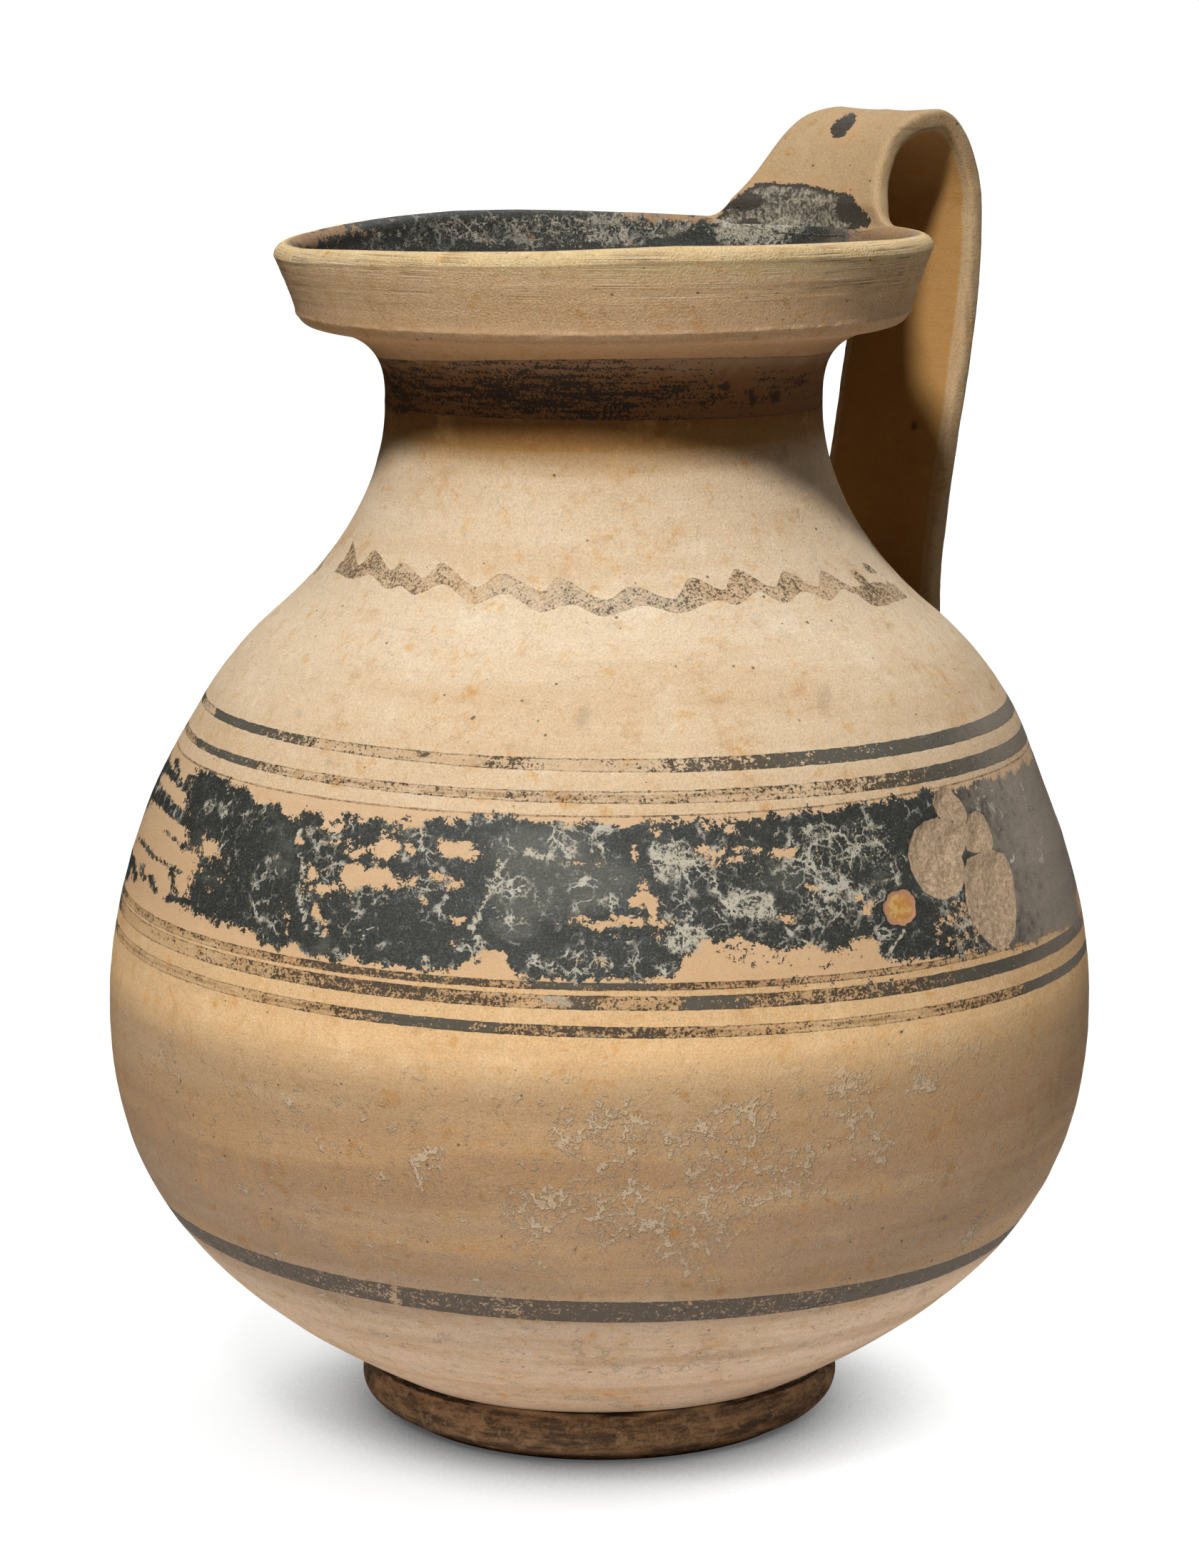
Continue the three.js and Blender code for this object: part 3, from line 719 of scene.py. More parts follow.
def side_of(curve, step, finer=(), offset=0.0):
    """Rows of (radius, height, way out) along a curve, moved off it to its left."""
    distances = spaced(curve.length, step, finer)
    at, along = curve.at(distances), curve.way_at(distances)
    left = np.stack([-along[:, 1], along[:, 0]], -1)
    return np.concatenate([at + left * offset, -left], 1)


def joined_rows(parts):
    return np.concatenate([r if i == 0 else r[1:] for i, r in enumerate(parts)])


def collar_side(step):
    """The collar's outside, which goes up straighter than its outline."""
    outer = side_of(collar_curve, step)
    share = np.linspace(0, 1, len(outer)) ** COLLAR_HOLLOW_SHARE
    outer[:, 0] += (COLLAR_BOW - COLLAR_HOLLOW) * np.sin(np.pi * share)
    return outer


def inner_side(curves, step=4.0):
    joined = joined_rows([side_of(curve, step, offset=WALL) for curve in curves])
    joined[:, 2:] *= -1
    return joined


# The surface's unevenness, in millimetres

throwing = Lumps(1, 6, 3.6)
swells = Lumps(2, 14, 25.0)
wheel_marks = Lumps(3, 70, 1.3)
collar_lines = Lumps(4, 26, 0.5)
collar_rings = Lumps(5, 9, 1.3)
arris_rough = Lumps(6, 420, 1.0)
spall_floor, spall_grain = Lumps(7, 240, 2.2), Lumps(8, 700, 0.7)
THROWING, SWELLS, WHEEL_MARKS = 0.07, 0.22, 0.02
COLLAR_LINES, COLLAR_RINGS, ARRIS_RIDGE, ARRIS_WIDTH = 0.03, 0.05, 0.28, 0.5
COLLAR_HOLLOW, COLLAR_HOLLOW_SHARE, BEAD_STEP = 1.1, 1.3, 0.12
SPALL_STEP_DEPTH, SPALL_DEPTH, SPALL_SLOPE, STONE_DEPTH = 0.38, 0.6, 3.0, 0.3
SPALL_FLOOR, SPALL_GRAIN = 0.34, 0.20


def relief(turn, height, points):
    """How far the outside stands off the outline. Nothing drops below the face that it rests on."""
    lift = THROWING * throwing(turn, height) + SWELLS * swells(turn, height)
    lift += WHEEL_MARKS * wheel_marks(turn, height)
    collar = smooth(height, arris_height + 1, arris_height + 5)
    collar *= 1 - smooth(height, lip_height - 1, lip_height)
    lift += collar * (COLLAR_LINES * collar_lines(turn, height) + COLLAR_RINGS * collar_rings(turn, height))
    ridge = np.exp(-(((height - arris_height) / ARRIS_WIDTH) ** 2))
    lift += ARRIS_RIDGE * ridge * (0.5 + 0.5 * arris_rough(turn, height))
    bead = smooth(height, lip_height - 0.1, lip_height - 0.7)
    bead *= smooth(height, lip_height - 5, lip_height - 0.7)
    lift -= BEAD_STEP * bead
    spot = photo_of(points)
    front = (np.abs(turn) < 90).astype(float)
    inside = spall_depth(spot, front)
    drop = SPALL_STEP_DEPTH * smooth(inside, -0.1, 0.25) + SPALL_DEPTH * smooth(inside, 0, SPALL_SLOPE)
    broken = SPALL_FLOOR * spall_floor(turn, height) + SPALL_GRAIN * spall_grain(turn, height)
    drop -= smooth(inside, 0.1, 0.8) * broken
    drop += STONE_DEPTH * smooth(mark_depth(spot, STONE), -0.2, 0.3) * front
    return (lift - drop) * smooth(height, 0.5, 3.0)


def round_points(radius, level, turn):
    across, away = radius * np.sin(rads(turn)), -radius * np.cos(rads(turn))
    points = across[..., None] * view_right + away[..., None] * view_forward
    points[..., 2] = level
    return points


def ring_faces(index, pairs):
    """Faces between pairs of closed rings, whose vertices' numbers are in index."""
    following = np.roll(index, -1, axis=1)
    return np.concatenate(
        [np.stack([index[a], following[a], following[b], index[b]], -1) for a, b in pairs]
    )


def sharpen(mesh, ring_of, corners):
    """Marks the edges that run along a corner's ring as sharp."""
    ends = np.empty(len(mesh.edges) * 2, int)
    mesh.edges.foreach_get("vertices", ends)
    first, second = ring_of[ends.reshape(-1, 2)].T
    mesh.edges.foreach_set("use_edge_sharp", ((first == second) & np.isin(first, corners)).tolist())


NO_LIP = np.zeros((0, 4))


def revolve(name, outer, inner, material, lip=NO_LIP):
    """A closed ring body: outer rows, then the lip's if it has one, then inner rows back."""
    rows = np.concatenate([outer, lip, inner[::-1]])
    turn, height = np.meshgrid(turns, rows[:, 1])
    centre = rows[:, 0] < 1e-6
    many, count = len(outer), len(rows)
    still = round_points(np.broadcast_to(rows[:, :1], turn.shape), height, turn)
    lift = np.zeros_like(turn)
    lift[:many] = relief(turn[:many], height[:many], still[:many])
    lift[many : many + len(lip)] = lift[many - 1] * np.linspace(1, 0, len(lip) + 1)[1:, None]
    lift[centre] = 0
    points = round_points(rows[:, :1] + lift * rows[:, 2:3], rows[:, 1:2] + lift * rows[:, 3:4], turn)
    index = np.arange(turn.size).reshape(turn.shape)
    index[centre] = index[centre][:, :1]
    pairs = [(k, k + 1) for k in range(count - 1)]
    if not centre.any():
        pairs.append((count - 1, 0))
    used, place = np.unique(ring_faces(index, pairs), return_inverse=True)
    faces = [list(dict.fromkeys(face)) for face in place.reshape(-1, 4).tolist()]
    flat = warped(points).reshape(-1, 3)[used]
    made = make_object(name, flat, faces, material)
    corners = [0, many - 1, count - 1] + ([] if len(lip) else [many])
    sharpen(made.data, used // len(turns), corners)
    inward = np.concatenate([np.zeros(many), np.linspace(0, 1, len(lip) + 2)[1:-1], np.ones(len(inner))])
    inward = np.broadcast_to(inward[:, None], turn.shape)
    places = (values.reshape(-1)[used] for values in (turn, height, inward))
    set_fields(made.data, pot_fields(photo_of(flat), *places, facing(made.data, flat)))
    return made


# The pot's pieces


def bowl_piece(material):
    spall_rows = (0.0, 35.0, 0.4)
    outer = joined_rows(
        [side_of(base_curve, 4.0), side_of(bowl_curve, 1.0), side_of(swell_curve, 0.6, (spall_rows,))]
    )
    inner = inner_side([base_curve, bowl_curve, swell_curve])
    outer[0, 0] = inner[0, 0] = 0
    return revolve("body_bowl_fine", outer, inner, material)


def shoulder_piece(material):
    outer = side_of(shoulder_curve, 0.6)
    return revolve("shoulder_fine", outer, inner_side([shoulder_curve]), material)


def neck_piece(material):
    outer = joined_rows([side_of(neck_curve, 0.7), side_of(flare_curve, 0.5), side_of(arris_curve, 0.25)])
    return revolve("neck_fine", outer, inner_side([neck_curve, flare_curve], 1.0), material)


LIP_ROWS = 14


def collar_piece(material):
    outer = collar_side(0.2)
    lip = np.stack([way(180 * k / LIP_ROWS) for k in range(1, LIP_ROWS)])
    lip = np.concatenate([lip_middle + lip * LIP_WIDTH / 2, lip], 1)
    mouth_corner = side_of(flare_curve, flare_curve.length, offset=WALL)[-1, :2]
    inner_curve = Curve(
        mouth_corner, collar_angle, (lip_radius - LIP_WIDTH, lip_height), 90, COLLAR_SHARES
    )
    inner = side_of(inner_curve, 0.5)
    return revolve("mouth_collar_fine", outer, inner, material, lip)


def foot_piece(material):
    rest_outer = FOOT_REST_RADIUS + FOOT_REST_WIDTH
    side = (rest_outer + FOOT_BULGE, FOOT_BULGE_HEIGHT)
    lower = Curve((rest_outer, 0), FOOT_TOE_ANGLE, side, 90, FOOT_SHARES)
    upper = Curve(side, 90, foot_top, 180 + BOWL_ANGLE, FOOT_TOP_SHARES)
    outer = joined_rows([side_of(lower, 0.6), side_of(upper, 0.6)])
    seat = side_of(base_curve, 1.5)
    seat = seat[seat[:, 0] > FOOT_REST_RADIUS - FOOT_INNER_LEAN]
    rest = np.array([[FOOT_REST_RADIUS, 0.0, 0.0, -1.0]])
    return revolve("foot_ring_fine", outer, np.concatenate([rest, seat]), material)


# The strap handle


def strap_course():
    """Middle line of the strap in the plane of the axis, with its way and the crest's distance."""
    start = np.array([lip_middle[0], lip_height]) - way(RISE_ANGLE) * RIM_LAP
    outermost_radius = SHOULDER_RADIUS + HANDLE_REACH
    crest = np.array([outermost_radius - TURN_REACH, lip_height + CREST_RISE])
    outermost = np.array([outermost_radius, crest[1] - TURN_DROP])
    landing = shoulder_curve.at(shoulder_curve.length * LANDING_SHARE)
    end = landing + way(LANDING_ANGLE) * LANDING_DEPTH
    rise = Curve(start, RISE_ANGLE, crest, CREST_ANGLE, RISE_SHARES)
    turn = Curve(crest, CREST_ANGLE, outermost, -90, TURN_SHARES)
    fall = Curve(outermost, -90, end, LANDING_ANGLE, FALL_SHARES)
    points = np.concatenate([rise.points, turn.points[1:], fall.points[1:]])
    ways = np.concatenate([rise.ways, turn.ways[1:], fall.ways[1:]])
    return points, ways, rise.length


STRAP_RINGS, EDGE_POINTS, FACE_POINTS = 320, 20, 40
EDGE_BOX, EDGE_THIN, STRAP_WIDER, FACE_FLAT = 0.7, 0.62, 0.8, 2.6


def strap_section(width, thickness):
    """Points round the strap's section, aside and outward from its middle."""
    half = thickness / 2
    edge_half = half * EDGE_THIN
    reach = (width + STRAP_WIDER) / 2 - edge_half
    edge = rads(np.linspace(-90, 90, EDGE_POINTS + 1))
    edge_out, edge_up = np.cos(edge) ** EDGE_BOX, np.sign(edge) * np.abs(np.sin(edge)) ** EDGE_BOX
    face = np.linspace(-1, 1, FACE_POINTS + 2)[1:-1]
    rise = 2 * (half - edge_half) * np.abs(face) ** FACE_FLAT
    right = np.stack([reach + edge_half * edge_out, half - edge_half + edge_half * edge_up], -1)
    left = np.stack([-right[::-1, 0], right[::-1, 1]], -1)
    top = np.stack([-face * reach, half - STRAP_DISH * (1 - face**2)], -1)
    bottom = np.stack([face * reach, rise - half], -1)
    return np.concatenate([right, top, left, bottom])


def strap_rings():
    """Rings of points round the strap, from inside the lip to inside the shoulder."""
    points, ways, crest_distance = strap_course()
    along = lengths_along(points)
    length = along[-1]
    distance = np.linspace(0, length, STRAP_RINGS + 1)
    middle = read_rows(distance, along, points)
    course = unit(read_rows(distance, along, ways))
    outward = np.stack([-course[:, 1], course[:, 0]], -1)

    to_crest = np.clip(1 - distance / crest_distance, 0, 1)
    pressed = to_crest**RIM_FADE
    past_crest = smooth(distance, crest_distance, length / 2)
    to_landing = (length - LANDING_DEPTH - distance) / SHOULDER_SPREAD_LENGTH
    landed = np.clip(1 - to_landing, 0, 1) ** 2
    width = CREST_WIDTH + (RIM_SPREAD - CREST_WIDTH) * pressed
    width += (STRAP_WIDTH - CREST_WIDTH) * past_crest + (SHOULDER_SPREAD - STRAP_WIDTH) * landed
    thickness = STRAP_THICKNESS + (RIM_THICKNESS - STRAP_THICKNESS) * pressed

    rings = []
    for k, section in enumerate(map(strap_section, width, thickness)):
        aside, out = section.T
        sag = lip_middle[0] - np.sqrt(np.maximum(0, lip_middle[0] ** 2 - aside**2))
        x = middle[k, 0] + outward[k, 0] * out - sag * to_crest[k]
        rings.append(np.stack([x, aside, middle[k, 1] + outward[k, 1] * out], -1))
    return np.array(rings)


# Steps along the pot's side, over the lip in degrees, and down the inside of the mouth
TOUCH_STEP, LIP_STEP, MOUTH_ROWS, MOUTH_STEP = 0.2, 4, 30, (0.08, 0.4)
pot_curves = (shoulder_curve, neck_curve, flare_curve, arris_curve)
lip_top = [(*(lip_middle + way(a) * LIP_WIDTH / 2), *way(a)) for a in range(0, 181, LIP_STEP)]
mouth_side = [
    (lip_radius - LIP_WIDTH - k * MOUTH_STEP[0], lip_height - k * MOUTH_STEP[1], -1.0, 0.2)
    for k in range(MOUTH_ROWS)
]
# Rows of (radius, height, way out) all along what the strap can touch
curve_sides = [side_of(curve, TOUCH_STEP) for curve in pot_curves]
pot_side = np.concatenate([*curve_sides, collar_side(TOUCH_STEP), lip_top, mouth_side])


# How many points are measured at once, to spare memory
PART = 4000


def onto_pot(points):
    """Nearest places on the pot's outside, the way out there and the distance."""
    radius = np.hypot(points[..., 0], points[..., 1])
    flat = np.stack([radius, points[..., 2]], -1).reshape(-1, 2)
    best = np.empty(len(flat), int)
    for start in range(0, len(flat), PART):
        part = flat[start : start + PART]
        reach = ((part[:, None] - pot_side[None, :, :2]) ** 2).sum(-1)
        best[start : start + PART] = reach.argmin(1)
    found = pot_side[best]
    gap = np.linalg.norm(flat - found[:, :2], axis=1).reshape(radius.shape)
    found = found.reshape(*radius.shape, 4)
    round_way = points[..., :2] / radius[..., None]
    at = np.concatenate([round_way * found[..., :1], found[..., 1:2]], -1)
    out = np.concatenate([round_way * found[..., 2:3], found[..., 3:4]], -1)
    return at, out, gap


RIM_FILLET, SHOULDER_FILLET, FILLET_RINGS, BODY_RINGS, SUNK = 4.0, 2.2, 9, 230, 1.2
# A fillet's corner and foot, as shares of its size, and the rings by its ends that stay even
FILLET_CORNER, FILLET_FOOT, EVEN_RINGS = 0.9, 0.75, 25
strap_swells, strap_rough = Lumps(21, 12, 9.0), Lumps(22, 60, 2.5)
STRAP_SWELLS, STRAP_ROUGH = 0.28, 0.05


def along_line(line, places):
    return read_rows(places, np.arange(len(line)), line)


def root_of(line, gap, middle, step, fillet):
    """Where a line along the strap comes within a fillet of the pot, as a place on the line."""
    k = middle
    while gap[k + step] > fillet:
        k += step
    share = (gap[k] - fillet) / (gap[k] - gap[k + step])
    return k + step * share


def fillet_points(line, place, step, fillet, centre):
    """A curve from the strap's line down to the pot's surface and away from the strap."""
    start, following = along_line(line, np.array([place, place + step]))
    ahead, aside = unit(following - start), start - centre
    aside = unit(aside - ahead * (aside @ ahead))
    corner = onto_pot((start + ahead * fillet * FILLET_CORNER)[None])[0][0]
    foot, out, _ = onto_pot((corner + (aside + ahead) * fillet * FILLET_FOOT)[None])
    t = np.linspace(0, 1, FILLET_RINGS + 1)[1:, None]
    curve = (1 - t) ** 2 * start + 2 * (1 - t) * t * corner + t**2 * foot[0]
    return np.concatenate([curve, [foot[0] - out[0] * SUNK]])


def strap_piece(material):
    rings = strap_rings()
    gap = onto_pot(rings)[2]
    middle = len(rings) // 2
    sides = rings.shape[1]
    lines = []
    for j in range(sides):
        line = rings[:, j]
        first = root_of(line, gap[:, j], middle, -1, RIM_FILLET)
        last = root_of(line, gap[:, j], middle, 1, SHOULDER_FILLET)
        body = along_line(line, np.linspace(first, last, BODY_RINGS + 1))
        upper = fillet_points(line, first, -1, RIM_FILLET, rings[int(first)].mean(0))
        lower = fillet_points(line, last, 1, SHOULDER_FILLET, rings[int(last)].mean(0))
        lines.append(np.concatenate([upper[::-1], body, lower]))
    points = np.array(lines).transpose(1, 0, 2)
    count = len(points)
    away = unit(points - points.mean(1, keepdims=True))
    ring, side = np.meshgrid(np.arange(count), np.arange(sides), indexing="ij")
    lift = STRAP_SWELLS * strap_swells(side / sides * 360, ring)
    lift += STRAP_ROUGH * strap_rough(side / sides * 360, ring)
    root = np.minimum(ring, count - 1 - ring) - FILLET_RINGS - 1
    points = warped(points + away * (lift * smooth(root, 0, EVEN_RINGS))[..., None])
    index = np.arange(count * sides).reshape(count, sides)
    faces = ring_faces(index, [(k, k + 1) for k in range(count - 1)]).tolist()
    faces = [index[0][::-1].tolist(), index[-1].tolist(), *faces]
    flat = points.reshape(-1, 3)
    made = make_object("strap_handle_fine", flat, faces, material)
    inner = np.zeros(sides)
    inner[-FACE_POINTS:] = 1
    inner = np.tile(inner, count)
    set_fields(made.data, strap_fields(photo_of(flat), facing(made.data, flat), inner))
    return made


# Materials


class Value:
    """A number that a material's nodes work out. A sum or a product of it adds a node."""

    def __init__(self, wires, made):
        self.wires, self.made = wires, made

    def __add__(self, other):
        return self.wires.math("ADD", self, other)

    def __sub__(self, other):
        return self.wires.math("SUBTRACT", self, other)

    def __rsub__(self, other):
        return self.wires.math("SUBTRACT", other, self)

    def __mul__(self, other):
        return self.wires.math("MULTIPLY", self, other)

    def __truediv__(self, other):
        return self.wires.math("DIVIDE", self, other)

    def __abs__(self):
        return self.wires.math("ABSOLUTE", self)

    def fade(self, low, high):
        """0 at low, 1 at high and smooth between them."""
        made = self.wires.node("ShaderNodeMapRange", interpolation_type="SMOOTHSTEP")
        for socket, value in zip(made.inputs, (self, low, high)):
            self.wires.feed(socket, value)
        return Value(self.wires, made.outputs[0])


def most(first, *others):
    for other in others:
        first = first.wires.math("MAXIMUM", first, other)
    return first


class Coat:
    """A colour on which others are laid, each as far as its share says."""

    def __init__(self, wires, colour):
        self.wires, self.made = wires, colour

    def lay(self, colour, share, blend="MIX"):
        mix = self.wires.node("ShaderNodeMix", data_type="RGBA", blend_type=blend)
        for socket, value in zip((mix.inputs[0], *mix.inputs[6:8]), (share, self, colour)):
            self.wires.feed(socket, value)
        self.made = mix.outputs[2]

    def tint(self, colour, share):
        """The coat is multiplied by a colour."""
        self.lay(colour, share, "MULTIPLY")


class Wires:
    """Adds shader nodes to one material."""

    def __init__(self, name):
        self.material = bpy.data.materials.new(name)
        self.material.use_nodes = True
        self.tree = self.material.node_tree
        self.shader = self.tree.nodes["Principled BSDF"]
        self.place = self.node("ShaderNodeTexCoord").outputs["Object"]

    def node(self, kind, **settings):
        made = self.tree.nodes.new(kind)
        for key, value in settings.items():
            setattr(made, key, value)
        return made

    def feed(self, socket, value):
        """An input takes a number, a colour, a vector or what another node makes."""
        value = getattr(value, "made", value)
        if isinstance(value, bpy.types.NodeSocket):
            self.tree.links.new(value, socket)
        elif socket.type == "RGBA":
            socket.default_value = (*value, 1)
        else:
            socket.default_value = value

    def math(self, operation, *values):
        made = self.node("ShaderNodeMath", operation=operation)
        for socket, value in zip(made.inputs, values):
            self.feed(socket, value)
        return Value(self, made.outputs[0])

    def vector(self, operation, *values):
        made = self.node("ShaderNodeVectorMath", operation=operation)
        for socket, value in zip(made.inputs, values):
            self.feed(socket, value)
        return made

    def field(self, name):
        return Value(self, self.node("ShaderNodeAttribute", attribute_name=name).outputs["Fac"])

    def dot(self, vector):
        return Value(self, self.vector("DOT_PRODUCT", self.place, tuple(vector)).outputs["Value"])

    def texture(self, kind, place, size, **settings):
        made = self.node(kind, **settings)
        self.feed(made.inputs["Vector"], place)
        self.feed(made.inputs["Scale"], 1 / (size * MM))
        return made

    def noise_node(self, place, size, detail, rough, twist=0.0):
        made = self.texture("ShaderNodeTexNoise", place, size)
        for name, value in (("Detail", detail), ("Roughness", rough), ("Distortion", twist)):
            self.feed(made.inputs[name], value)
        return made

    def noise(self, size, detail=2.0, rough=0.5, twist=0.0, squeeze=None, place=None):
        """Unevenness from about -1 to 1, in lumps size millimetres tall and size / squeeze wide."""
        place = place or self.place
        if squeeze:
            place = self.vector("MULTIPLY", place, (squeeze, squeeze, 1)).outputs[0]
        made = self.noise_node(place, size, detail, rough, twist)
        return self.math("MULTIPLY_ADD", made.outputs["Fac"], NOISE_SPREAD, -NOISE_SPREAD / 2)

    def cell_values(self, size):
        """The distance to the middle of the nearest cell, and two values of that cell."""
        made = self.texture("ShaderNodeTexVoronoi", self.place, size)
        split = self.node("ShaderNodeSeparateColor")
        self.feed(split.inputs[0], made.outputs["Color"])
        return [Value(self, output) for output in (made.outputs["Distance"], *split.outputs[:2])]

    def dots(self, spacing, radius, share):
        """Small dots, from 0 to 1, in a share of the cells."""
        distance, first, second = self.cell_values(spacing)
        size = second * (radius * 0.8) + radius * 0.4
        return self.math("LESS_THAN", first, share) * (distance / size).fade(1.3, 0.6)

    def cells(self, size):
        """A different value from -1 to 1 in each of the flakes about size millimetres across."""
        return self.cell_values(size)[1] * 2.0 - 1.0

    def web(self, size, wander):
        """Distance in millimetres to the nearest crooked line of a net whose meshes are size across."""
        bend = self.noise_node(self.place, size / WEB_BENDS, 4.0, 0.7).outputs["Color"]
        moved = self.vector("MULTIPLY_ADD", bend, (wander * MM,) * 3, self.place).outputs[0]
        made = self.texture("ShaderNodeTexVoronoi", moved, size, feature="DISTANCE_TO_EDGE")
        return Value(self, made.outputs["Distance"]) * size

    def scaled(self, coat, factor):
        made = self.vector("SCALE", coat)
        made.inputs["Scale"].default_value = factor
        return made.outputs[0]

    def ramp(self, value, stops):
        made = self.node("ShaderNodeValToRGB")
        self.feed(made.inputs[0], value)
        elements = made.color_ramp.elements
        while len(elements) < len(stops):
            elements.new(0.5)
        for element, (place, colour) in zip(elements, stops):
            element.position, element.color = place, (*colour, 1)
        return made.outputs[0]

    def finish(self, colour, roughness, height):
        """Colour, roughness and a height in millimetres go to the shader."""
        bump = self.node("ShaderNodeBump")
        self.feed(bump.inputs["Height"], height)
        self.feed(bump.inputs["Distance"], MM)
        ends = {"Base Color": colour, "Roughness": roughness, "Normal": bump.outputs[0]}
        for name, value in {**ends, "Specular IOR Level": SPECULAR}.items():
            self.feed(self.shader.inputs[name], value)
        return self.material


NOISE_SPREAD, WEB_BENDS, SPECULAR = 4.5, 1.6, 0.35

# Colours, as the clay and the paint have them in even light, except the painted shade and sheen noted below
CLAY_AND_NECK_SHADE_BY_HEIGHT = (
    (11, (0.74, 0.52, 0.36)), (36, (0.83, 0.61, 0.42)), (50, (0.48, 0.32, 0.197)),
    (75, (0.475, 0.283, 0.148)), (88, (0.55, 0.348, 0.182)), (97, (0.90, 0.58, 0.288)),
    (118, (0.69, 0.45, 0.24)), (148, (0.82, 0.61, 0.39)), (172, (0.85, 0.67, 0.46)),
    # The stops at 203 and 207 mm darken the neck under the collar as painted shade.
    (197, (0.78, 0.58, 0.37)), (203, (0.36, 0.19, 0.058)), (207, (0.25, 0.105, 0.024)),
    (222, (0.60, 0.36, 0.195)), (229, (0.87, 0.57, 0.315)), (236, (0.90, 0.60, 0.325)),
    (239, (0.92, 0.67, 0.35)),
)
# The third colour darkens the strap's inner face, which faces the pot, as painted shade.
HANDLE_CLAY, INSIDE_CLAY, INNER_FACE_SHADE = (0.55, 0.375, 0.20), (0.42, 0.27, 0.15), (0.44, 0.205, 0.032)
PEACH, ORANGE = (0.76, 0.49, 0.275), (0.66, 0.36, 0.13)
STAIN, PALER, GREYER = (0.92, 0.72, 0.42), (1.10, 1.18, 1.30), (0.80, 0.87, 0.95)
NECK_DUST, ROOT_MARGIN = (0.40, 0.27, 0.17), (0.62, 0.37, 0.19)
PALE, DARK_CLAY, YELLOW_CLAY = (0.86, 0.74, 0.56), (0.42, 0.25, 0.12), (0.62, 0.45, 0.24)
WASHED_ORANGE, CRUST = (0.66, 0.41, 0.20), (0.80, 0.68, 0.50)
BLACK, SOOT, BLUE_BLACK = (0.028, 0.028, 0.023), (0.075, 0.078, 0.066), (0.13, 0.155, 0.15)
# The second colour of this line, and the first of the next, lighten the black towards the band's right edge
# as a painted sheen.
GREY_BLACK, PAINTED_SHEEN_BLACK = (0.18, 0.178, 0.142), (0.42, 0.35, 0.28)
PAINTED_SHEEN_RIGHT, LOWER_BLACK = (0.17, 0.142, 0.112), (0.10, 0.077, 0.057)
LINE_BROWN, WAVE_BROWN, WAVE_GREY = (0.40, 0.235, 0.11), (0.40, 0.26, 0.13), (0.29, 0.27, 0.215)
BROWN, DARK_BROWN, WASH = (0.30, 0.155, 0.06), (0.055, 0.034, 0.018), (0.24, 0.105, 0.034)
NECK_BLACK, WISP = (0.026, 0.017, 0.010), (0.72, 0.66, 0.53)
CHALK_COLOUR, PIT = (0.60, 0.54, 0.41), (0.12, 0.075, 0.04)
BROKEN_CLAY, BROKEN_SHADE = (0.92, 0.67, 0.43), (0.56, 0.38, 0.235)
FOOT_BROWN, FOOT_BLACK, FOOT_WARM = (0.40, 0.22, 0.10), (0.045, 0.026, 0.013), (0.58, 0.37, 0.20)
STONE_ORANGE, STONE_YELLOW, STONE_RIM = (0.62, 0.27, 0.07), (0.72, 0.47, 0.16), (0.55, 0.28, 0.15)
GROOVE_BLACK = (0.012, 0.007, 0.003)
DARKER_GRAIN, BRIGHTER_GRAIN = 0.58, 1.32

# Painted lines: upper and lower edge as height, tilt and bow, then half the width of a core or 0
LINES = {
    "shoulder 1": ((148.7, -0.3, 0.2), (146.3, -0.9, 0.4), 0.0),
    "shoulder 2": ((143.15, 0.0, 0.0), (140.9, -0.8, 0.0), 0.42),
    "reserve": ((139.0, 0.0, 0.4), (138.55, 0.0, 0.4), 0.0),
    "brown": ((109.9, -1.3, 0.0), (108.4, -1.1, 0.0), 0.4),
    "speckled": ((107.6, -1.6, 0.0), (104.9, -1.6, 0.0), 0.0),
    "below band": ((102.15, -1.9, 0.0), (99.95, -1.9, 0.0), 0.34),
    "lower": ((47.3, -1.9, 0.0), (42.1, -1.7, 1.4), 0.0),
    "neck": ((219.8, 0.6, -2.4), (207.6, -0.2, -0.6), 0.0),
}
# Heights over which a thing begins, in millimetres, and the worn patch's place aside and height
LOW_BODY, UNDER_BAND, DUST, NECK_MIDDLE = (100, 84), (118, 112), (215.5, 218.5), 212.5
PATCH_ASIDE, PATCH_HEIGHT, STROKE_WIDTH = 0.2, 74.0, 0.8


def clay_coat(w, colour, streaks):
    """Clay's stains, veins, grains and pits over a plain colour, with their height and noises."""
    broad, mid, fine = w.noise(13, 4, 0.6), w.noise(2.6, 4, 0.65), w.noise(0.42, 3, 0.75)
    vein, wheel = abs(w.noise(7, 4, 0.6, 1.2)), w.noise(0.9, 2, 0.6, squeeze=0.03)
    both = broad * 0.6 + mid * 0.4
    coat = Coat(w, colour)
    coat.lay(ORANGE, both.fade(0.05, 0.75) * 0.46)
    coat.tint(PALER, both.fade(-0.1, -0.8) * 0.7)
    coat.tint(GREYER, vein.fade(0.09, 0.01) * mid.fade(-0.3, 0.5) * 0.75)
    darker, brighter = w.scaled(coat, DARKER_GRAIN), w.scaled(coat, BRIGHTER_GRAIN)
    coat.lay(darker, fine.fade(0.05, 0.8) * 0.50)
    coat.lay(brighter, fine.fade(-0.05, -0.8) * 0.55)
    coat.lay(DARK_CLAY, wheel.fade(-0.2, 1.0) * streaks)
    pits, specks = w.dots(3.1, 0.10, 0.30), w.dots(1.3, 0.16, 0.10)
    coat.lay(PIT, most(pits * 0.8, specks * 0.4))
    stain = w.dots(6.0, 0.26, 0.45) * mid.fade(-0.4, 0.5) * 0.75
    coat.tint(STAIN, most(stain, w.noise(4.0, 3, 0.6, 0.6).fade(0.32, 0.90) * 0.52))
    height = fine * 0.034 + wheel * 0.010 - pits * 0.12 + mid * 0.02
    return coat, height, broad, mid, fine


